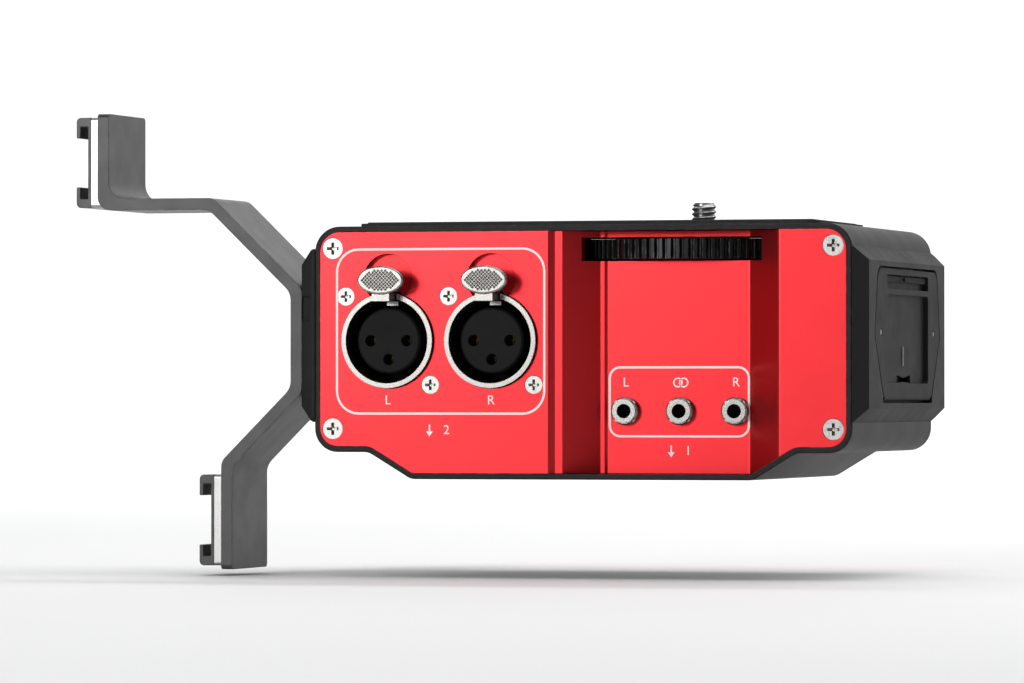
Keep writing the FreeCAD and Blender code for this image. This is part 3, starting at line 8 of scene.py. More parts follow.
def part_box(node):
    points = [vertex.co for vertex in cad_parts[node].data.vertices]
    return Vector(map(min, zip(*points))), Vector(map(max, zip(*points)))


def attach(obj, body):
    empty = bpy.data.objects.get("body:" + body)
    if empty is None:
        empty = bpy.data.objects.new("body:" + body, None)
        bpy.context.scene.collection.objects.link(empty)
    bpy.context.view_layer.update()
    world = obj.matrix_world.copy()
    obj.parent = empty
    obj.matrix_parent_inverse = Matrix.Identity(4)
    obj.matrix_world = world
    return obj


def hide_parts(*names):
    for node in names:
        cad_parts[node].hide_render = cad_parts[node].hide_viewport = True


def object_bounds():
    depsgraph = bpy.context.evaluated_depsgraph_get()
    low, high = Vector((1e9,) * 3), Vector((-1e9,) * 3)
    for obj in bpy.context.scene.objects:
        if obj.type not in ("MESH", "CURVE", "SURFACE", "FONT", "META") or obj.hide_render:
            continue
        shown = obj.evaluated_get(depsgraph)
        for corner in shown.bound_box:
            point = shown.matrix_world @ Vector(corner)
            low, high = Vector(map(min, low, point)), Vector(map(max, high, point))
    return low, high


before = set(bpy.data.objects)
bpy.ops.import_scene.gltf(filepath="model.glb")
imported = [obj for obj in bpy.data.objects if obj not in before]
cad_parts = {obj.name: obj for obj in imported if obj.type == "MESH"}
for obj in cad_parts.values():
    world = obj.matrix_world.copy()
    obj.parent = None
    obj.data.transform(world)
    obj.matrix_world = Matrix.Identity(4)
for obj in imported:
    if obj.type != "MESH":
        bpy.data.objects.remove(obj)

cad_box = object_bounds()
MM = 0.001


# ---------------- places taken from the frame ----------------

def middle(node):
    """Centre of a CAD node's box."""
    low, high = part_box(node)
    return (Vector(low) + Vector(high)) / 2


PANEL_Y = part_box("front_panel")[0][1]
REAR_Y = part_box("rear_panel")[1][1]
FLOOR_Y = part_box("mini_jack_nuts")[1][1]      # floor of the finger channel
XLR = {side: middle("xlr_shell_" + side) for side in ("left", "right")}
JACKS = {name: middle("mini_jack_" + name) for name in ("left", "stereo", "right")}
REAR_JACKS = {name: middle(name) for name in ("output_jack", "headphone_jack")}
KNOBS = {name: middle("knob_" + name) for name in ("left", "right", "phones")}
KNOB_BODY = {"left": "gain_left", "right": "gain_right", "phones": "volume"}
WHEEL = middle("camera_wheel")


# ---------------- material building ----------------

BEVEL_SAMPLES = 6
WEAR_DOTS = (0.995, 0.85)      # cosine between true and rounded normal where wear starts and is full
MOST_NOISE = (0.3, 0.7)        # nearly all values of a noise lie between these


def shade(colour, factor):
    return tuple(c * factor for c in colour)


class Look:
    """A procedural material while its nodes are being laid out."""

    def __init__(self, name, metallic=0.0, roughness=0.5):
        self.material = bpy.data.materials.new(name)
        self.material.use_nodes = True
        self.nodes = self.material.node_tree.nodes
        self.links = self.material.node_tree.links
        self.shader = self.nodes["Principled BSDF"]
        self.shader.inputs["Metallic"].default_value = metallic
        self.shader.inputs["Roughness"].default_value = roughness
        self.coords = self.nodes.new("ShaderNodeTexCoord").outputs["Object"]
        self.normal = None

    def feed(self, socket, value):
        """Gives an input a constant or another node's output."""
        if isinstance(value, bpy.types.NodeSocket):
            self.links.new(value, socket)
        else:
            socket.default_value = value

    def set(self, socket, value):
        """The same for one of the shader's inputs, by its name."""
        self.feed(self.shader.inputs[socket], value)

    def stretched(self, stretch):
        """The object's own coordinates, scaled along each axis."""
        node = self.nodes.new("ShaderNodeMapping")
        self.links.new(self.coords, node.inputs["Vector"])
        node.inputs["Scale"].default_value = stretch
        return node.outputs["Vector"]

    def noise(self, size_mm, detail=2.0, stretch=(1, 1, 1)):
        """Noise whose features are about size_mm across."""
        node = self.nodes.new("ShaderNodeTexNoise")
        self.links.new(self.stretched(stretch), node.inputs["Vector"])
        node.inputs["Scale"].default_value = 1 / (size_mm * MM)
        node.inputs["Detail"].default_value = detail
        return node.outputs["Fac"]

    def cells(self, size_mm):
        """Pebble pattern: distance to the nearest cell's centre."""
        node = self.nodes.new("ShaderNodeTexVoronoi")
        self.links.new(self.coords, node.inputs["Vector"])
        node.inputs["Scale"].default_value = 1 / (size_mm * MM)
        return node.outputs["Distance"]

    def spread(self, value, low, high, to_low=0.0, to_high=1.0):
        """Maps low..high to to_low..to_high, clamped."""
        node = self.nodes.new("ShaderNodeMapRange")
        self.feed(node.inputs["Value"], value)
        node.inputs["From Min"].default_value = low
        node.inputs["From Max"].default_value = high
        node.inputs["To Min"].default_value = to_low
        node.inputs["To Max"].default_value = to_high
        return node.outputs["Result"]

    def math(self, operation, a, b):
        node = self.nodes.new("ShaderNodeMath")
        node.operation = operation
        self.feed(node.inputs[0], a)
        self.feed(node.inputs[1], b)
        return node.outputs["Value"]

    def mix(self, share, a, b):
        """Colour a where share is 0 and b where it is 1."""
        node = self.nodes.new("ShaderNodeMix")
        node.data_type = "RGBA"
        self.feed(node.inputs["Factor"], share)
        for socket, value in ((node.inputs["A"], a), (node.inputs["B"], b)):
            self.feed(socket, (*value, 1.0) if isinstance(value, tuple) else value)
        return node.outputs["Result"]

    def tone(self, noise, colour, dark, light):
        """Colour that drifts between two shades of itself."""
        return self.mix(self.spread(noise, *MOST_NOISE), shade(colour, dark), shade(colour, light))

    def patches(self, noise, low, high, most):
        """0 where the noise is low, rising to most where it is high."""
        return self.spread(noise, low, high, 0.0, most)

    def gloss(self, noise, low, high):
        """Roughness that varies between two values."""
        self.set("Roughness", self.spread(noise, *MOST_NOISE, low, high))

    def place(self, axis):
        """One coordinate of the point being shaded, in metres in the part's frame."""
        node = self.nodes.new("ShaderNodeSeparateXYZ")
        self.links.new(self.coords, node.inputs["Vector"])
        return node.outputs[axis]

    def rounded(self, radius_mm):
        """Normal as if sharp corners had this radius."""
        node = self.nodes.new("ShaderNodeBevel")
        node.samples = BEVEL_SAMPLES
        node.inputs["Radius"].default_value = radius_mm * MM
        return node.outputs["Normal"]

    def soft_edges(self, radius_mm):
        """Shades sharp corners as if they had this radius."""
        self.normal = self.rounded(radius_mm)

    def worn_edges(self, radius_mm, patches):
        """Share of wear: along sharp corners only, and only where the patches are."""
        plain = self.nodes.new("ShaderNodeNewGeometry")
        dot = self.nodes.new("ShaderNodeVectorMath")
        dot.operation = "DOT_PRODUCT"
        self.links.new(self.rounded(radius_mm), dot.inputs[0])
        self.links.new(plain.outputs["Normal"], dot.inputs[1])
        return self.math("MULTIPLY", self.spread(dot.outputs["Value"], *WEAR_DOTS), patches)

    def bump(self, height, strength, depth_mm):
        node = self.nodes.new("ShaderNodeBump")
        node.inputs["Strength"].default_value = strength
        node.inputs["Distance"].default_value = depth_mm * MM
        self.links.new(height, node.inputs["Height"])
        if self.normal is not None:
            self.links.new(self.normal, node.inputs["Normal"])
        self.normal = node.outputs["Normal"]

    def done(self):
        if self.normal is not None:
            self.links.new(self.normal, self.shader.inputs["Normal"])
        return self.material


# ---------------- kinds of material ----------------

def anodised(name, colour, roughness, metallic=0.9, wear=(0.6, 0.6, 0.6), wear_share=0.35, specular=0.5):
    """Bead-blasted and dyed aluminium: fine grain, slow tone drift, lightly rubbed corners."""
    look = Look(name, metallic=metallic)
    grain = look.noise(0.16, detail=1)
    tone = look.tone(look.noise(45, detail=1), colour, 0.97, 1.03)
    tone = look.mix(look.patches(grain, 0.35, 0.7, 0.10), tone, shade(colour, 0.6))
    rub = look.worn_edges(0.25, look.patches(look.noise(2.4, detail=4), 0.46, 0.66, wear_share))
    look.set("Base Color", look.mix(rub, tone, wear))
    look.gloss(look.noise(9, detail=5), roughness - 0.02, roughness + 0.025)
    look.set("Specular IOR Level", specular)
    look.soft_edges(0.18)
    look.bump(grain, 0.22, 0.02)
    return look.done()


def grained_plastic(name, colour, roughness=0.5, grain_mm=0.42, depth=0.045):
    """Moulded plastic with an eroded grain, a little lighter where hands rub the corners."""
    look = Look(name)
    pebble = look.cells(grain_mm)
    fine = look.noise(grain_mm * 0.6, detail=2)
    height = look.math("ADD", look.math("MULTIPLY", pebble, 0.7), look.math("MULTIPLY", fine, 0.5))
    tone = look.tone(look.noise(40, detail=2), colour, 0.96, 1.05)
    tone = look.mix(look.spread(pebble, 0.0, 0.5, 0.22, 0.0), tone, shade(colour, 1.7))
    rub = look.worn_edges(0.4, look.patches(look.noise(3, detail=4), 0.4, 0.65, 0.5))
    look.set("Base Color", look.mix(rub, tone, shade(colour, 2.3)))
    look.gloss(look.noise(7, detail=4), roughness - 0.03, roughness + 0.04)
    look.set("Specular IOR Level", 0.06)
    look.soft_edges(0.25)
    look.bump(height, 0.5, depth)
    return look.done()


def smooth_plastic(name, colour, roughness=0.28):
    look = Look(name)
    look.set("Base Color", look.tone(look.noise(11, detail=4), colour, 0.85, 1.2))
    look.gloss(look.noise(4, detail=5), roughness - 0.06, roughness + 0.1)
    look.soft_edges(0.12)
    look.bump(look.noise(1.1, detail=3), 0.08, 0.05)
    return look.done()


def bare_metal(name, colour, roughness, stretch=(1, 1, 1), brush_mm=0.3):
    """Machined or plated metal with tool marks and dull stains."""
    look = Look(name, metallic=1.0)
    brush = look.noise(brush_mm, detail=3, stretch=stretch)
    stain = look.patches(look.noise(3.5, detail=5), 0.55, 0.8, 0.35)
    look.set("Base Color", look.mix(stain, look.tone(brush, colour, 0.86, 1.06), (0.16, 0.14, 0.12)))
    look.gloss(brush, roughness - 0.06, roughness + 0.12)
    look.soft_edges(0.12)
    look.bump(brush, 0.15, 0.03)
    return look.done()


def coated_metal(name, colour, roughness):
    """Powder coat: fine orange peel over metal, thin and greyer on the corners."""
    look = Look(name, metallic=0.15)
    tone = look.tone(look.noise(40, detail=2), colour, 0.95, 1.05)
    speck = look.patches(look.noise(0.35, detail=1), 0.62, 0.74, 0.25)
    tone = look.mix(speck, tone, shade(colour, 1.8))
    rub = look.worn_edges(0.35, look.patches(look.noise(2.2, detail=4), 0.45, 0.68, 0.6))
    look.set("Base Color", look.mix(rub, tone, (0.34, 0.34, 0.33)))
    look.gloss(look.noise(6, detail=5), roughness - 0.03, roughness + 0.04)
    look.soft_edges(0.3)
    look.bump(look.noise(0.55, detail=2), 0.3, 0.05)
    return look.done()


def rubber(name):
    """Matt rubber with dust in its grain."""
    look = Look(name, roughness=0.82)
    dust = look.patches(look.noise(1.6, detail=6), 0.52, 0.78, 0.35)
    look.set("Base Color", look.mix(dust, (0.018, 0.018, 0.018), (0.07, 0.065, 0.06)))
    look.soft_edges(0.2)
    look.bump(look.cells(0.5), 0.5, 0.08)
    return look.done()


def printed_ink(name, colour):
    """Screen-printed line: slightly uneven cover, satin."""
    look = Look(name, roughness=0.5)
    thin = look.patches(look.noise(0.5, detail=3), 0.4, 0.8, 0.2)
    look.set("Base Color", look.mix(thin, colour, shade(colour, 0.62)))
    look.bump(look.noise(0.2, detail=2), 0.2, 0.02)
    return look.done()


def circuit_board(name, top_z):
    """Green solder mask with the woven glass showing; the chips standing on it are black."""
    look = Look(name, roughness=0.35)
    weave = look.noise(1.4, detail=3, stretch=(1, 6, 1))
    mask = look.mix(look.spread(weave, 0.4, 0.6), (0.008, 0.09, 0.03), (0.02, 0.17, 0.06))
    above = look.math("GREATER_THAN", look.place("Z"), top_z)
    look.set("Base Color", look.mix(above, mask, (0.02, 0.02, 0.021)))
    look.bump(weave, 0.2, 0.05)
    return look.done()


def smoked_window(name):
    """Half clear dark plastic."""
    look = Look(name)
    look.set("Base Color", (0.02, 0.02, 0.024, 1))
    look.set("Alpha", 0.5)
    look.set("Roughness", look.spread(look.noise(3, detail=5), 0.3, 0.8, 0.05, 0.16))
    return look.done()


def lamp(name, colour):
    """Tinted lens of a lamp that is off."""
    look = Look(name, roughness=0.2)
    look.set("Base Color", look.mix(look.noise(1.0, detail=2), colour, shade(colour, 0.6)))
    look.bump(look.noise(0.8, detail=2), 0.05, 0.05)
    return look.done()


LAMP_GREEN = (0.04, 0.52, 0.10)
LAMP_AMBER = (0.75, 0.42, 0.03)
LAMP_RED = (0.70, 0.03, 0.02)
AMBER_BEYOND = -4 * MM         # from the meter's middle to the sides of the amber and red lamps
RED_BEYOND = -8 * MM
LAMP_LENGTH = 3.15 * MM        # the lamps stand this far out of their board


def meter_lamps(name):
    """Green lamps, amber and red at the loud end, on a dark board."""
    look = Look(name, roughness=0.22)
    across = look.math("SUBTRACT", look.place("X"), middle("level_meter").x)
    tone = look.mix(look.math("LESS_THAN", across, AMBER_BEYOND), LAMP_GREEN, LAMP_AMBER)
    tone = look.mix(look.math("LESS_THAN", across, RED_BEYOND), tone, LAMP_RED)
    behind = look.math("LESS_THAN", look.place("Y"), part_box("level_meter")[1][1] - LAMP_LENGTH)
    tone = look.mix(behind, tone, (0.01, 0.03, 0.015))
    grain = look.noise(0.8, detail=2)
    look.set("Base Color", look.mix(look.patches(grain, 0.3, 0.8, 0.3), tone, (0.02, 0.02, 0.02)))
    look.bump(grain, 0.05, 0.05)
    return look.done()


BAND_FROM = 0.68               # share of the battery's length where its coloured band starts
SNAP_HEIGHT = 2.2 * MM         # the snaps stand out this far


def battery_wrap(name):
    """Printed steel jacket: black with a copper-coloured band at the snap end."""
    look = Look(name, metallic=0.6)
    low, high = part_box("battery_9v")
    band = look.math("GREATER_THAN", look.place("Y"), low[1] + BAND_FROM * (high[1] - low[1]))
    snaps = look.math("GREATER_THAN", look.place("Y"), high[1] - SNAP_HEIGHT)
    scuff = look.patches(look.noise(0.7, detail=5, stretch=(1, 0.25, 1)), 0.56, 0.8, 0.12)
    tone = look.mix(band, (0.02, 0.02, 0.022), (0.42, 0.19, 0.065))
    tone = look.mix(scuff, tone, (0.3, 0.29, 0.28))
    look.set("Base Color", look.mix(snaps, tone, (0.5, 0.49, 0.47)))
    look.gloss(look.noise(4, detail=4), 0.24, 0.36)
    look.soft_edges(0.2)
    look.bump(look.noise(1.5, detail=2), 0.1, 0.05)
    return look.done()


JACK_BORE_R = 1.85 * MM
BUSH_DEPTH = 2.4 * MM          # the metal bush ends this far behind the panel's face
BUSH_FRONT = 1.9 * MM          # and its rim is this far in front of it


def jack_metal(name, face_y, way, centres):
    """Nickel bush in front of the panel, black moulding inside the bore and behind the panel."""
    look = Look(name)
    inside = 0.0
    for centre in centres:
        dx = look.math("SUBTRACT", look.place("X"), centre.x)
        dz = look.math("SUBTRACT", look.place("Z"), centre.z)
        away = look.math("ADD", look.math("MULTIPLY", dx, dx), look.math("MULTIPLY", dz, dz))
        inside = look.math("MAXIMUM", inside, look.math("LESS_THAN", away, JACK_BORE_R ** 2))
    depth = look.math("MULTIPLY", look.math("SUBTRACT", look.place("Y"), face_y), way)
    deep = look.math("GREATER_THAN", depth, BUSH_DEPTH)
    mouth = look.math("MULTIPLY", inside, look.math("GREATER_THAN", depth, -BUSH_FRONT))
    moulded = look.math("MAXIMUM", deep, mouth)
    brush = look.noise(0.3, detail=3)
    plated = look.mix(look.spread(brush, *MOST_NOISE), (0.27, 0.265, 0.25), (0.36, 0.35, 0.33))
    look.set("Base Color", look.mix(moulded, plated, (0.012, 0.012, 0.012)))
    look.set("Metallic", look.math("SUBTRACT", 1.0, moulded))
    look.gloss(brush, 0.2, 0.34)
    look.soft_edges(0.12)
    look.bump(brush, 0.1, 0.03)
    return look.done()


# ---------------- the object's materials ----------------

RED = (0.55, 0.022, 0.027)
BLACK = (0.022, 0.021, 0.022)
CHARCOAL = (0.0185, 0.018, 0.018)
BOARD_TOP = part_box("main_board")[0][2] + 1.65 * MM

red_metal = anodised("red_anodised", RED, 0.31, metallic=0.85, wear=(0.9, 0.42, 0.4))
black_metal = anodised("black_anodised", BLACK, 0.46, metallic=0.2, wear=(0.35, 0.34, 0.34), wear_share=0.3,
                       specular=0.06)
wheel_metal = anodised("wheel_black", (0.02, 0.02, 0.021), 0.34, wear=(0.45, 0.45, 0.46), wear_share=0.55)
knob_metal = anodised("knob_black", (0.03, 0.03, 0.031), 0.32, wear=(0.5, 0.5, 0.5), wear_share=0.4)
black_screw = anodised("black_screw", (0.02, 0.02, 0.02), 0.4)
cover_plastic = grained_plastic("cover_plastic", CHARCOAL)
door_plastic = grained_plastic("door_plastic", shade(CHARCOAL, 0.86), roughness=0.54, grain_mm=0.36)
inner_plastic = grained_plastic("inner_plastic", (0.014, 0.014, 0.0145), roughness=0.55)
insert_plastic = grained_plastic("insert_plastic", (0.009, 0.009, 0.0092), grain_mm=0.3, depth=0.02)
latch_plastic = grained_plastic("latch_plastic", (0.012, 0.012, 0.0125), roughness=0.62, grain_mm=0.3)
# The door rib's grey is far lighter than the door's own plastic: a painted highlight, a line of light
# painted into its colour.
rib_painted_highlight = smooth_plastic("rib_painted_highlight", (0.07, 0.068, 0.066), roughness=0.4)
slider_plastic = smooth_plastic("slider_plastic", (0.02, 0.02, 0.021))
pad_rubber = rubber("pad_rubber")
bright_screw = bare_metal("bright_screw", (0.36, 0.35, 0.335), 0.3, brush_mm=0.5)
nickel = bare_metal("nickel_plate", (0.29, 0.28, 0.265), 0.28, brush_mm=0.6)
grip_nickel = bare_metal("grip_nickel", (0.15, 0.142, 0.13), 0.36, brush_mm=0.5)
steel = bare_metal("turned_steel", (0.36, 0.36, 0.36), 0.3, stretch=(1, 1, 5))
aluminium = bare_metal("milled_aluminium", (0.34, 0.34, 0.335), 0.32, stretch=(1, 0.15, 1))
brass = bare_metal("brass", (0.76, 0.56, 0.26), 0.28)
bracket_coat = coated_metal("bracket_coat", (0.037, 0.0365, 0.0355), 0.42)
shoe_coat = coated_metal("shoe_coat", (0.022, 0.022, 0.022), 0.38)
white_ink = printed_ink("white_ink", (0.86, 0.84, 0.82))
board = circuit_board("circuit_board", BOARD_TOP)
window = smoked_window("smoked_window")
level_lamps = meter_lamps("level_lamps")
red_lamp = lamp("red_lamp", (0.62, 0.03, 0.02))
battery_print = battery_wrap("battery_print")
front_jacks = jack_metal("front_jacks", FLOOR_Y, 1, JACKS.values())
rear_jacks = jack_metal("rear_jacks", REAR_Y, -1, REAR_JACKS.values())

FINISH = {
    red_metal: ["front_panel", "rear_panel"],
    black_metal: ["chassis_shell"],
    wheel_metal: ["camera_wheel"],
    knob_metal: ["knob_left", "knob_right", "knob_phones"],
    black_screw: ["side_cover_screws", "cradle_screws", "bracket_screws"],
    cover_plastic: ["side_cover_left", "side_cover_right"],
    door_plastic: ["battery_door"],
    inner_plastic: ["battery_bay", "board_capacitors"],
    insert_plastic: ["xlr_insert_left", "xlr_insert_right"],
    latch_plastic: ["battery_latch"],
    slider_plastic: ["phantom_left_slider", "phantom_right_slider", "power_slider"],
    pad_rubber: ["top_pad"],
    bright_screw: ["panel_screws", "xlr_screws", "shoe_screws"],
    nickel: ["xlr_shell_left", "xlr_shell_right", "xlr_tab_left", "xlr_tab_right", "mini_jack_nuts",
             "rear_jack_nuts", "battery_contacts"],
    steel: ["tripod_bush", "battery_hinge_pin", "camera_screw", "wheel_cradle", "pot_left", "pot_right",
            "pot_phones", "switch_bodies", "board_standoffs"],
    aluminium: ["base_stiffener", "input_transformers", "shoe_plate_upper", "shoe_plate_lower"],
    brass: ["wheel_bush", "xlr_contacts"],
    bracket_coat: ["bracket_strip"],
    shoe_coat: ["shoe_upper", "shoe_lower"],
    board: ["main_board"],
    window: ["meter_window"],
    level_lamps: ["level_meter"],
    red_lamp: ["power_led"],
    battery_print: ["battery_9v"],
    front_jacks: ["mini_jack_left", "mini_jack_stereo", "mini_jack_right"],
    rear_jacks: ["output_jack", "headphone_jack"],
}


def paint(obj, material):
    if not obj.material_slots:
        obj.data.materials.append(material)
    for slot in obj.material_slots:
        slot.material = material


for material, names in FINISH.items():
    for name in names:
        paint(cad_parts[name], material)


# ---------------- mesh building ----------------

SMOOTH_ANGLE = math.radians(35)      # edges sharper than this stay sharp
CORNER_STEPS = 8


def finish_mesh(made, name, material, body):
    """Turns a bmesh into a piece that rides on a body."""
    mesh = bpy.data.meshes.new(name)
    bmesh.ops.recalc_face_normals(made, faces=made.faces)
    made.to_mesh(mesh)
    made.free()
    obj = bpy.data.objects.new(name, mesh)
    bpy.context.scene.collection.objects.link(obj)
    mesh.shade_smooth()
    mesh.set_sharp_from_angle(angle=SMOOTH_ANGLE)
    paint(obj, material)
    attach(obj, body)
    return obj


def join_rings(made, a, b):
    """Faces between two closed rings of vertices."""
    for i in range(len(a)):
        j = (i + 1) % len(a)
        made.faces.new((a[i], a[j], b[j], b[i]))


def close_ends(made, rings):
    made.faces.new(rings[0])
    made.faces.new(rings[-1])


def circle(u, v, r, steps):
    turns = [2 * math.pi * i / steps for i in range(steps)]
    return [(u + r * math.cos(a), v + r * math.sin(a)) for a in turns]


def rounded_loop(u0, u1, v0, v1, r):
    """Points round a rectangle with quarter-circle corners."""
    points = []
    corners = ((u1 - r, v1 - r, 0), (u0 + r, v1 - r, 90), (u0 + r, v0 + r, 180), (u1 - r, v0 + r, 270))
    for cu, cv, start in corners:
        for i in range(CORNER_STEPS + 1):
            a = math.radians(start + 90 * i / CORNER_STEPS)
            points.append((cu + r * math.cos(a), cv + r * math.sin(a)))
    return points


def bevelled_box(centre, size, edge, segments):
    """Box with rounded edges."""
    made = bmesh.new()
    bmesh.ops.create_cube(made, size=1.0, matrix=Matrix.LocRotScale(centre, None, size))
    bmesh.ops.bevel(made, geom=list(made.edges), offset=edge, segments=segments, affect="EDGES")
    return made


# ---------------- printing ----------------

INK = 0.05 * MM                # how far ink stands out of the face, and how far it reaches in
INK_SINK = 0.02 * MM
FRAME_LINE = 0.55
THIN_LINE = 0.35
TICK_LINE = 0.3
BOLD_LINE = 0.4
RING_STEPS = 24
FONT_SIZE = 1.38               # size of the font over the height of its digits
FONT_STEPS = 6
SAME_POINT = 1e-7              # metres
LETTER_H = 2.4
ARROW_HALF = [(0.2, -1.4), (0.2, 0.3), (0.9, 0.3), (0.0, 1.6)]


class Print:
    """Ink on a face that looks along -Y (way -1) or +Y (way 1), drawn in millimetres of X and Z."""

    def __init__(self, face_y, way):
        self.made = bmesh.new()
        self.low = face_y - way * INK_SINK
        self.high = face_y + way * INK
        self.right = -way

    def ring_of(self, points, y):
        return [self.made.verts.new((u * MM, y, v * MM)) for u, v in points]

    def solid(self, points):
        """Filled outline."""
        rings = [self.ring_of(points, y) for y in (self.low, self.high)]
        close_ends(self.made, rings)
        join_rings(self.made, *rings)

    def band(self, outer, inner):
        """Closed line between two outlines with the same number of points."""
        rings = []
        for loop, y in ((outer, self.low), (inner, self.low), (inner, self.high), (outer, self.high)):
            rings.append(self.ring_of(loop, y))
        for a, b in zip(rings, rings[1:] + rings[:1]):
            join_rings(self.made, a, b)

    def frame(self, u0, u1, v0, v1, r):
        line = FRAME_LINE
        self.band(rounded_loop(u0, u1, v0, v1, r),
                  rounded_loop(u0 + line, u1 - line, v0 + line, v1 - line, r - line))

    def ring(self, u, v, r):
        self.band(circle(u, v, r, RING_STEPS), circle(u, v, r - THIN_LINE, RING_STEPS))

    def stroke(self, a, b, line):
        """Straight line with square ends."""
        du, dv = b[0] - a[0], b[1] - a[1]
        length = math.hypot(du, dv)
        nu, nv = -dv / length * line / 2, du / length * line / 2
        self.solid([(a[0] + nu, a[1] + nv), (b[0] + nu, b[1] + nv),
                    (b[0] - nu, b[1] - nv), (a[0] - nu, a[1] - nv)])

    def marks(self, text, u, v, height):
        """Numbers or a channel letter, centred on (u, v)."""
        curve = bpy.data.curves.new("digits", "FONT")
        curve.body = text
        curve.size = height * FONT_SIZE
        curve.align_x = "CENTER"
        curve.align_y = "CENTER"
        curve.extrude = 0.5        # any depth: the points are put on the two faces of the ink below
        curve.resolution_u = FONT_STEPS
        holder = bpy.data.objects.new("digits", curve)
        mesh = bpy.data.meshes.new_from_object(holder)
        start = len(self.made.verts)
        self.made.from_mesh(mesh)
        self.made.verts.ensure_lookup_table()
        for vert in self.made.verts[start:]:
            across, up, depth = vert.co
            y = self.high if depth > 0 else self.low
            vert.co = ((u + self.right * across) * MM, y, (v + up) * MM)
        bpy.data.objects.remove(holder)
        bpy.data.curves.remove(curve)
        bpy.data.meshes.remove(mesh)

    def arrow(self, u, v, way):
        """Small arrow that points down into the sockets (way -1) or up and out (way 1)."""
        outline = ARROW_HALF + [(-a, b) for a, b in reversed(ARROW_HALF[:-1])]
        self.solid([(u + a, v + way * b) for a, b in outline])

    def piece(self, name):
        bmesh.ops.remove_doubles(self.made, verts=self.made.verts, dist=SAME_POINT)
        finish_mesh(self.made, name, white_ink, "housing")


# ---------------- print on the front ----------------

SOCKET_FRAME = (-64.3, -9.05, 16.3, 58.4)      # x and z of the frames round the sockets and the jacks
SOCKET_FRAME_R = 6.0
SOCKET_LETTER_Z = 19.9
SOCKET_GROUP = (-39.5, -35.0, 12.4)            # x of the group's arrow, x of its number, z of both
JACK_FRAME = (4.7, 41.4, 10.6, 28.5)
JACK_FRAME_R = 3.0
JACK_LETTER_Z = 24.4
JACK_GROUP = (21.0, 25.4, 7.2)
STEREO_RING_R = 1.25
STEREO_RING_SHIFT = 0.75


def group_number(page, group, number):
    """Arrow and number under a group of inputs."""
    arrow_x, number_x, z = group
    page.arrow(arrow_x, z, -1)
    page.marks(number, number_x, z, LETTER_H)


def socket_print():
    page = Print(PANEL_Y, -1)
    page.frame(*SOCKET_FRAME, SOCKET_FRAME_R)
    for letter, side in (("L", "left"), ("R", "right")):
        page.marks(letter, XLR[side].x / MM, SOCKET_LETTER_Z, LETTER_H)
    group_number(page, SOCKET_GROUP, "2")
    page.piece("print_sockets")


def jack_print():
    page = Print(FLOOR_Y, -1)
    page.frame(*JACK_FRAME, JACK_FRAME_R)
    for letter, side in (("L", "left"), ("R", "right")):
        page.marks(letter, JACKS[side].x / MM, JACK_LETTER_Z, LETTER_H)
    for shift in (-STEREO_RING_SHIFT, STEREO_RING_SHIFT):
        page.ring(JACKS["stereo"].x / MM + shift, JACK_LETTER_Z, STEREO_RING_R)
    group_number(page, JACK_GROUP, "1")
    page.piece("print_jacks")


socket_print()
jack_print()


# ---------------- print on the back ----------------

DIAL_TURN = 140                # degrees each way
DIAL_STEPS = 20
DIAL_GAP = 1.0                 # from the knob's rim to the ticks
NUMBER_GAP = 3.9               # and to the middle of the numbers
LONG_TICK = 1.5
SHORT_TICK = 0.9
NUMBER_H = 1.7
SLIDER_TO_MIDDLE = 2.0         # a slider at rest stands this far from the middle of its travel
SWITCH_MARK = 6.9              # from there to its on and off marks
OFF_RING_R = 0.95
ON_HALF = 1.0
SYMBOL_BELOW = 5.0
POWER_RING_R = 1.4
POWER_LINE_TOP = 2.1
PHANTOM_BELOW = 5.4
PHANTOM_H = 2.6
JACK_SYMBOL_ABOVE = 6.6
HEADBAND = (1.9, 1.5, 0.05)    # outer and inner radius, and how far the inside starts from the ends
HEADBAND_STEPS = 6
EAR_REACH = (1.1, 2.1)         # an ear pad's sides, from the symbol's middle
EAR_HEIGHT = (-1.3, 0.5)
METER_TICKS = 6
METER_PITCH = 4.0
METER_TICK_Z = (-6.6, -5.4)


def dial(page, centre, knob_r, numbers):
    """Ticks over the knob's turn, a long one at each of 0 to 10, and numbers at some of those."""
    u, v = centre.x / MM, centre.z / MM
    inner = knob_r + DIAL_GAP
    for step in range(DIAL_STEPS + 1):
        whole = step % 2 == 0
        a = math.radians(-DIAL_TURN + 2 * DIAL_TURN / DIAL_STEPS * step)
        way_u, way_v = -math.sin(a), math.cos(a)
        outer = inner + (LONG_TICK if whole else SHORT_TICK)
        near = (u + way_u * inner, v + way_v * inner)
        far = (u + way_u * outer, v + way_v * outer)
        page.stroke(near, far, TICK_LINE)
        if whole and step // 2 in numbers:
            away = knob_r + NUMBER_GAP
            page.marks(str(step // 2), u + way_u * away, v + way_v * away, NUMBER_H)


def knob_radius(name):
    """In millimetres."""
    low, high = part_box("knob_" + name)
    return (high[0] - low[0]) / 2 / MM


def switch_marks(page, switch):
    """Off ring, on line, and what the switch is for."""
    slider = middle(switch + "_slider")
    u, v = slider.x / MM + SLIDER_TO_MIDDLE, slider.z / MM
    page.ring(u - SWITCH_MARK, v, OFF_RING_R)
    page.stroke((u + SWITCH_MARK, v - ON_HALF), (u + SWITCH_MARK, v + ON_HALF), BOLD_LINE)
    if switch == "power":
        below = v - SYMBOL_BELOW
        page.ring(u, below, POWER_RING_R)
        page.stroke((u, below), (u, below + POWER_LINE_TOP), BOLD_LINE)
    else:
        page.marks("48", u, v - PHANTOM_BELOW, PHANTOM_H)


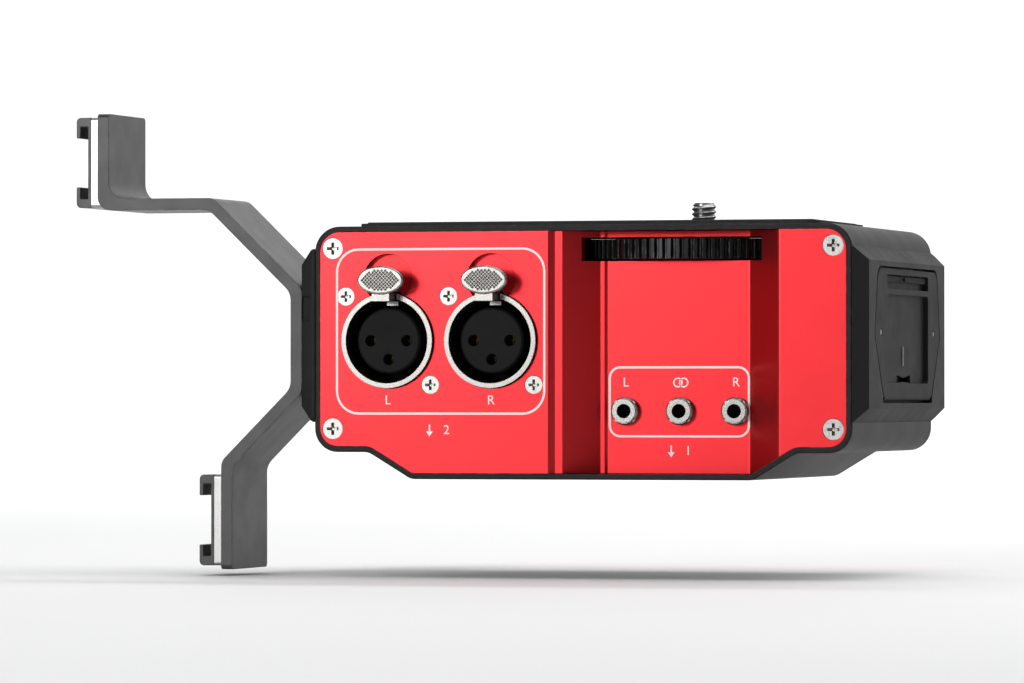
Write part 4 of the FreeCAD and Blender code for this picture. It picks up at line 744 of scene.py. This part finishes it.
def headphone_symbol(page, u, v):
    """Half ring with an ear pad at each end."""
    outer, inner, foot = HEADBAND
    turns = [math.pi * i / HEADBAND_STEPS for i in range(HEADBAND_STEPS + 1)]
    page.band([(u + outer * math.cos(a), v + outer * math.sin(a)) for a in turns]
              + [(u - inner, v), (u + inner, v)],
              [(u + inner * math.cos(a), v + inner * math.sin(a)) for a in turns]
              + [(u - inner + foot, v + foot), (u + inner - foot, v + foot)])
    low, high = (v + reach for reach in EAR_HEIGHT)
    for way in (-1, 1):
        u0, u1 = sorted(u + way * reach for reach in EAR_REACH)
        page.solid([(u0, low), (u1, low), (u1, high), (u0, high)])


def back_print():
    page = Print(REAR_Y, 1)
    for name, numbers in (("left", range(0, 11, 2)), ("right", range(0, 11, 2)), ("phones", (0, 10))):
        dial(page, KNOBS[name], knob_radius(name), numbers)
    for switch in ("phantom_left", "phantom_right", "power"):
        switch_marks(page, switch)
    output, phones = (REAR_JACKS[name] / MM for name in ("output_jack", "headphone_jack"))
    page.arrow(output.x, output.z + JACK_SYMBOL_ABOVE, 1)
    headphone_symbol(page, phones.x, phones.z + JACK_SYMBOL_ABOVE)
    meter = middle("meter_window") / MM
    z0, z1 = (meter.z + z for z in METER_TICK_Z)
    for i in range(METER_TICKS):
        u = meter.x + METER_PITCH * (i - (METER_TICKS - 1) / 2)
        page.stroke((u, z0), (u, z1), TICK_LINE)
    page.piece("print_back")


back_print()


# ---------------- knob pointers ----------------

POINTER_FROM = 0.38            # shares of the knob's radius
POINTER_TO = 0.93
POINTER_WIDTH = 0.7 * MM
POINTER_DEPTH = 0.42 * MM
POINTER_SINK = 0.3 * MM        # from the knob's face to the middle of the pointer
POINTER_EDGE = 0.1 * MM


def pointer(name, centre):
    """White line let into the knob's face."""
    r = knob_radius(name) * MM
    z0, z1 = centre.z + POINTER_FROM * r, centre.z + POINTER_TO * r
    place = Vector((centre.x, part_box("knob_" + name)[1][1] - POINTER_SINK, (z0 + z1) / 2))
    line = bevelled_box(place, Vector((POINTER_WIDTH, POINTER_DEPTH, z1 - z0)), POINTER_EDGE, 2)
    finish_mesh(line, "pointer_" + name, white_ink, KNOB_BODY[name])


for name, centre in KNOBS.items():
    pointer(name, centre)


# ---------------- threads ----------------

THREAD_PITCH = 1.27 * MM       # 20 turns to the inch
THREAD_AROUND = 56
FLANK_SLOPE = 1.25             # over 1, so that the crest is flat
ROOT_FLAT = 0.12
SCREW_R = 3.17 * MM
SCREW_ROOT_R = 2.62 * MM
SCREW_NECK_R = 2.5 * MM
SCREW_FOOT_R = 3.0 * MM        # under the wheel
SCREW_TIP_R = 2.45 * MM
SCREW_THREAD_L = 4.85 * MM
SCREW_TIP_L = 0.6 * MM
SCREW_STEPS = 30
NECK_STEP = 0.1 * MM           # from the wheel to the neck
RUN_IN = 0.2 * MM              # from the neck to the thread
BUSH_ROOT_R = 3.17 * MM
BUSH_CREST_R = 2.68 * MM
BUSH_BACK_R = 3.23 * MM        # hidden back of the thread, inside the bush's wall
BUSH_LOW_GAP = 0.5 * MM
BUSH_HIGH_GAP = 0.3 * MM
BUSH_STEPS = 56


def wound(made, centre, rows):
    """Surface of revolution whose radius may change with the angle; rows are (z, radius function)."""
    rings = []
    for z, radius in rows:
        ring = []
        for i in range(THREAD_AROUND):
            a = 2 * math.pi * i / THREAD_AROUND
            r = radius(a, z)
            ring.append(made.verts.new((centre.x + r * math.cos(a), centre.y + r * math.sin(a), z)))
        rings.append(ring)
    for low, high in zip(rings, rings[1:]):
        join_rings(made, low, high)
    return rings


def thread_radius(root, crest):
    """Radius that winds between root and crest, with a small flat on each."""
    def radius(a, z):
        phase = (z / THREAD_PITCH - a / (2 * math.pi)) % 1.0
        height = min(max(FLANK_SLOPE * (1 - abs(2 * phase - 1)) - ROOT_FLAT, 0.0), 1.0)
        return root + (crest - root) * height
    return radius


def steady(r):
    return lambda a, z: r


def spiral_rows(z0, z1, steps, spiral):
    return [(z0 + (z1 - z0) * i / steps, spiral) for i in range(steps + 1)]


def camera_screw_thread():
    """Captive screw of the thumb wheel, with a helical thread."""
    low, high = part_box("camera_screw")
    z_low, z_top = low[2], high[2]
    wheel_low, wheel_high = (corner[2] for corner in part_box("camera_wheel"))
    thread_low = z_top - SCREW_THREAD_L
    rows = [(z_low, steady(SCREW_FOOT_R)), (wheel_low, steady(SCREW_FOOT_R)),
            (wheel_low, steady(SCREW_R)), (wheel_high, steady(SCREW_R)),
            (wheel_high + NECK_STEP, steady(SCREW_NECK_R)), (thread_low, steady(SCREW_NECK_R))]
    spiral = thread_radius(SCREW_ROOT_R, SCREW_R)
    rows += spiral_rows(thread_low + RUN_IN, z_top - SCREW_TIP_L, SCREW_STEPS, spiral)
    rows.append((z_top, steady(SCREW_TIP_R)))
    made = bmesh.new()
    close_ends(made, wound(made, WHEEL, rows))
    piece = finish_mesh(made, "camera_thread", steel, "wheel")
    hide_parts("camera_screw")


def tripod_thread():
    """Thread inside the tripod bush."""
    low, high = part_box("tripod_bush")
    z0, z1 = low[2] + BUSH_LOW_GAP, high[2] - BUSH_HIGH_GAP
    spiral = thread_radius(BUSH_ROOT_R, BUSH_CREST_R)
    rows = [(z0, steady(BUSH_BACK_R)), *spiral_rows(z0, z1, BUSH_STEPS, spiral), (z1, steady(BUSH_BACK_R))]
    made = bmesh.new()
    rings = wound(made, middle("tripod_bush"), rows)
    join_rings(made, rings[-1], rings[0])
    finish_mesh(made, "tripod_thread", steel, "housing")


camera_screw_thread()
tripod_thread()


# ---------------- push tabs ----------------

GRIP_HALF_H = 3.6 * MM         # half height of the oval at the tab's top
GRIP_RIM = 0.9 * MM            # plain rim round the grip
GRIP_FILL = 0.86               # how much of the oval the pyramids fill
GRIP_PITCH = 0.95 * MM
GRIP_BASE = 0.46 * GRIP_PITCH  # half widths of a pyramid
GRIP_TOP = 0.12 * GRIP_PITCH
GRIP_HEIGHT = 0.22 * MM
GRIP_SINK = 0.02 * MM
GRIP_ROWS = 6                  # rows and columns each way from the middle
GRIP_COLUMNS = 7


def tab_grip(side):
    """Field of small pyramids on the face of a release tab."""
    low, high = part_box("xlr_tab_" + side)
    x = (low[0] + high[0]) / 2
    z = high[2] - GRIP_HALF_H
    face = low[1] + GRIP_SINK
    half_w = (high[0] - low[0]) / 2 - GRIP_RIM
    half_h = GRIP_HALF_H - GRIP_RIM
    made = bmesh.new()
    for row in range(-GRIP_ROWS, GRIP_ROWS + 1):
        for column in range(-GRIP_COLUMNS, GRIP_COLUMNS + 1):
            cx = (column + 0.5 * (row % 2)) * GRIP_PITCH
            cz = row * GRIP_PITCH / 2
            if (cx / half_w) ** 2 + (cz / half_h) ** 2 > GRIP_FILL:
                continue
            rings = []
            for reach, y in ((GRIP_BASE, face), (GRIP_TOP, face - GRIP_HEIGHT)):
                corners = ((reach, 0), (0, reach), (-reach, 0), (0, -reach))
                rings.append([made.verts.new((x + cx + a, y, z + cz + b)) for a, b in corners])
            close_ends(made, rings)
            join_rings(made, *rings)
    finish_mesh(made, "tab_grip_" + side, grip_nickel, "tab_" + side)


for side in ("left", "right"):
    tab_grip(side)


# ---------------- camera pad ----------------

PAD_CORNER_R = 3.0             # in millimetres, as all of the pad's sizes
PAD_HOLE_R = 4.2
PAD_SIDE_STEP = 3.0            # points along the sides, which keep the hole round
PAD_BORDER = 1.8
RIB_HEIGHT = 0.35
RIB_SINK = 0.05
RIB_HALF = 0.6
RIB_PITCH = 2.0
RIB_ROUND = 0.15               # width and height of the slope along a rib's top
RIB_ROUND_H = 0.1
RIB_FREE_R = 5.2               # the ribs stop this far from the middle of the hole


def pad_rib(made, u0, u1, v, base_z, top_z):
    """Low bar along X with sloped shoulders."""
    u_in, v_in = (u0 + RIB_ROUND, u1 - RIB_ROUND), (v - RIB_HALF + RIB_ROUND, v + RIB_HALF - RIB_ROUND)
    foot = ((u0, v - RIB_HALF), (u1, v - RIB_HALF), (u1, v + RIB_HALF), (u0, v + RIB_HALF))
    ridge = ((u_in[0], v_in[0]), (u_in[1], v_in[0]), (u_in[1], v_in[1]), (u_in[0], v_in[1]))
    levels = []
    for loop, z in ((foot, base_z - RIB_SINK * MM), (foot, top_z - RIB_ROUND_H * MM), (ridge, top_z)):
        levels.append([made.verts.new((x * MM, y * MM, z)) for x, y in loop])
    close_ends(made, levels)
    for a, b in zip(levels, levels[1:]):
        join_rings(made, a, b)


def split_sides(loop, apart):
    """The same outline with points about this far apart along its sides."""
    points = []
    for (au, av), (bu, bv) in zip(loop, loop[1:] + loop[:1]):
        parts = max(1, round(math.hypot(bu - au, bv - av) / apart))
        points += [(au + (bu - au) * i / parts, av + (bv - av) * i / parts) for i in range(parts)]
    return points


def ribbed_pad():
    """Rubber mat with ribs across it inside a plain border."""
    low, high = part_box("top_pad")
    x0, x1, y0, y1 = (value / MM for value in (low[0], high[0], low[1], high[1]))
    base_z = high[2] - RIB_HEIGHT * MM
    wheel_x, wheel_y = WHEEL.x / MM, WHEEL.y / MM
    outer = split_sides(rounded_loop(x0, x1, y0, y1, PAD_CORNER_R), PAD_SIDE_STEP)
    turns = [math.atan2(y - wheel_y, x - wheel_x) for x, y in outer]
    hole = [(wheel_x + PAD_HOLE_R * math.cos(a), wheel_y + PAD_HOLE_R * math.sin(a)) for a in turns]
    made = bmesh.new()
    rings = []
    for loop, z in ((outer, low[2]), (hole, low[2]), (hole, base_z), (outer, base_z)):
        rings.append([made.verts.new((x * MM, y * MM, z)) for x, y in loop])
    for a, b in zip(rings, rings[1:] + rings[:1]):
        join_rings(made, a, b)
    count = int((y1 - y0 - 2 * PAD_BORDER) / RIB_PITCH)
    start = (y0 + y1) / 2 - (count - 1) * RIB_PITCH / 2
    left, right = x0 + PAD_BORDER, x1 - PAD_BORDER
    for i in range(count):
        v = start + i * RIB_PITCH
        away = abs(v - wheel_y)
        if away < RIB_FREE_R:
            reach = math.sqrt(RIB_FREE_R ** 2 - away ** 2)
            pad_rib(made, left, wheel_x - reach, v, base_z, high[2])
            pad_rib(made, wheel_x + reach, right, v, base_z, high[2])
        else:
            pad_rib(made, left, right, v, base_z, high[2])
    piece = finish_mesh(made, "ribbed_pad", pad_rubber, "housing")
    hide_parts("top_pad")


ribbed_pad()


# ---------------- battery door ----------------

PIP_Y = 30.0 * MM              # from the door's middle
PIP_Z = 17.2 * MM              # above its lower edge
PIP_PROFILE = ((-0.7, 0.8), (-0.22, 0.8), (-0.1, 0.66), (-0.04, 0.35))      # depth and radius in mm
PIP_STEPS = 20
RIB_PLACE = Vector((-1.15, -1.5, 11.3)) * MM      # from the outer face, the middle and the lower edge
RIB_SIZE = Vector((0.5, 1.3, 5.0)) * MM
RIB_EDGE = 0.17 * MM


def door_pip(name, centre):
    """Turned pin head in a pit of the door."""
    made = bmesh.new()
    rings = []
    for x, r in PIP_PROFILE:
        loop = circle(0, 0, r, PIP_STEPS)
        rings.append([made.verts.new(centre + MM * Vector((x, y, z))) for y, z in loop])
    close_ends(made, rings)
    for a, b in zip(rings, rings[1:]):
        join_rings(made, a, b)
    finish_mesh(made, name, bright_screw, "door")


def door_details():
    """Polished pips in the door's two pits, and the low rib down its recess, whose lighter colour is a
    painted highlight.
    """
    low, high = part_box("battery_door")
    corner = Vector((high[0], (low[1] + high[1]) / 2, low[2]))
    for name, way in (("front", -1), ("back", 1)):
        door_pip("door_pip_" + name, corner + Vector((0, way * PIP_Y, PIP_Z)))
    rib = bevelled_box(corner + RIB_PLACE, RIB_SIZE, RIB_EDGE, 3)
    finish_mesh(rib, "door_rib", rib_painted_highlight, "door")


door_details()


# ---------------- stage, light and camera ----------------

FLOOR_Z = -0.0250
STAGE_HALF = 8.0
WALL_Y = 3.6
WALL_BEND = 1.2
WALL_TOP = 6.0
WALL_STEPS = 12
LOOK_AT = (Vector(cad_box[0]) + Vector(cad_box[1])) / 2
EYE = Vector((0.4252, -1.5478, 0.0212))
LENS = 219
SENSOR = 36
OBJECT = (0, 0, 0.03)
SKY = (0.95, 0.97, 1.0, 1)
SKY_STRENGTH = 0.18


def cove():
    """Pale floor that curves up into a backdrop behind the object."""
    bend_y = WALL_Y - WALL_BEND
    profile = [(-STAGE_HALF, 0.0), (bend_y, 0.0)]
    for i in range(1, WALL_STEPS + 1):
        a = math.radians(90 * i / WALL_STEPS)
        profile.append((bend_y + WALL_BEND * math.sin(a), WALL_BEND * (1 - math.cos(a))))
    profile.append((WALL_Y, WALL_TOP))
    made = bmesh.new()
    sides = [[made.verts.new((x, y, FLOOR_Z + z)) for y, z in profile] for x in (-STAGE_HALF, STAGE_HALF)]
    for i in range(len(profile) - 1):
        made.faces.new((sides[0][i], sides[0][i + 1], sides[1][i + 1], sides[1][i]))
    mesh = bpy.data.meshes.new("cove")
    made.to_mesh(mesh)
    made.free()
    mesh.shade_smooth()
    obj = bpy.data.objects.new("cove", mesh)
    bpy.context.scene.collection.objects.link(obj)
    look = Look("cove_paper", roughness=0.7)
    look.set("Base Color", look.mix(look.noise(300, detail=3), (0.80, 0.80, 0.80), (0.84, 0.84, 0.84)))
    paint(obj, look.done())


def facing(place, target):
    """Rotation that points a light or a camera at a target."""
    return (Vector(target) - Vector(place)).to_track_quat("-Z", "Y").to_euler()


def soft_light(name, place, target, size, power):
    data = bpy.data.lights.new(name, "AREA")
    data.shape = "RECTANGLE"
    data.size, data.size_y = size
    data.energy = power
    obj = bpy.data.objects.new(name, data)
    obj.location = place
    obj.rotation_euler = facing(place, target)
    bpy.context.scene.collection.objects.link(obj)


def studio_world():
    """Dim, slightly cool light from all round."""
    world = bpy.data.worlds.new("studio")
    world.use_nodes = True
    background = world.node_tree.nodes["Background"]
    background.inputs["Color"].default_value = SKY
    background.inputs["Strength"].default_value = SKY_STRENGTH
    bpy.context.scene.world = world
    bpy.context.scene.view_settings.view_transform = "Standard"


def place_camera():
    data = bpy.data.cameras.new("camera")
    data.sensor_width = SENSOR
    data.lens = LENS
    camera = bpy.data.objects.new("camera", data)
    camera.location = EYE
    camera.rotation_euler = facing(EYE, LOOK_AT)
    bpy.context.scene.collection.objects.link(camera)
    bpy.context.scene.camera = camera


cove()
soft_light("key", (-0.74, -1.64, 0.40), OBJECT, (0.55, 0.5), 14.5)
soft_light("top", (0.25, -0.15, 1.2), (0.08, 0, 0.03), (1.2, 0.9), 9)
soft_light("side", (1.5, 0.3, 1.0), (0.05, 0, 0.03), (0.8, 0.8), 3)
soft_light("back", (0.0, 1.7, 2.3), (0.0, 3.0, 0.3), (4.5, 1.4), 105)
studio_world()
place_camera()
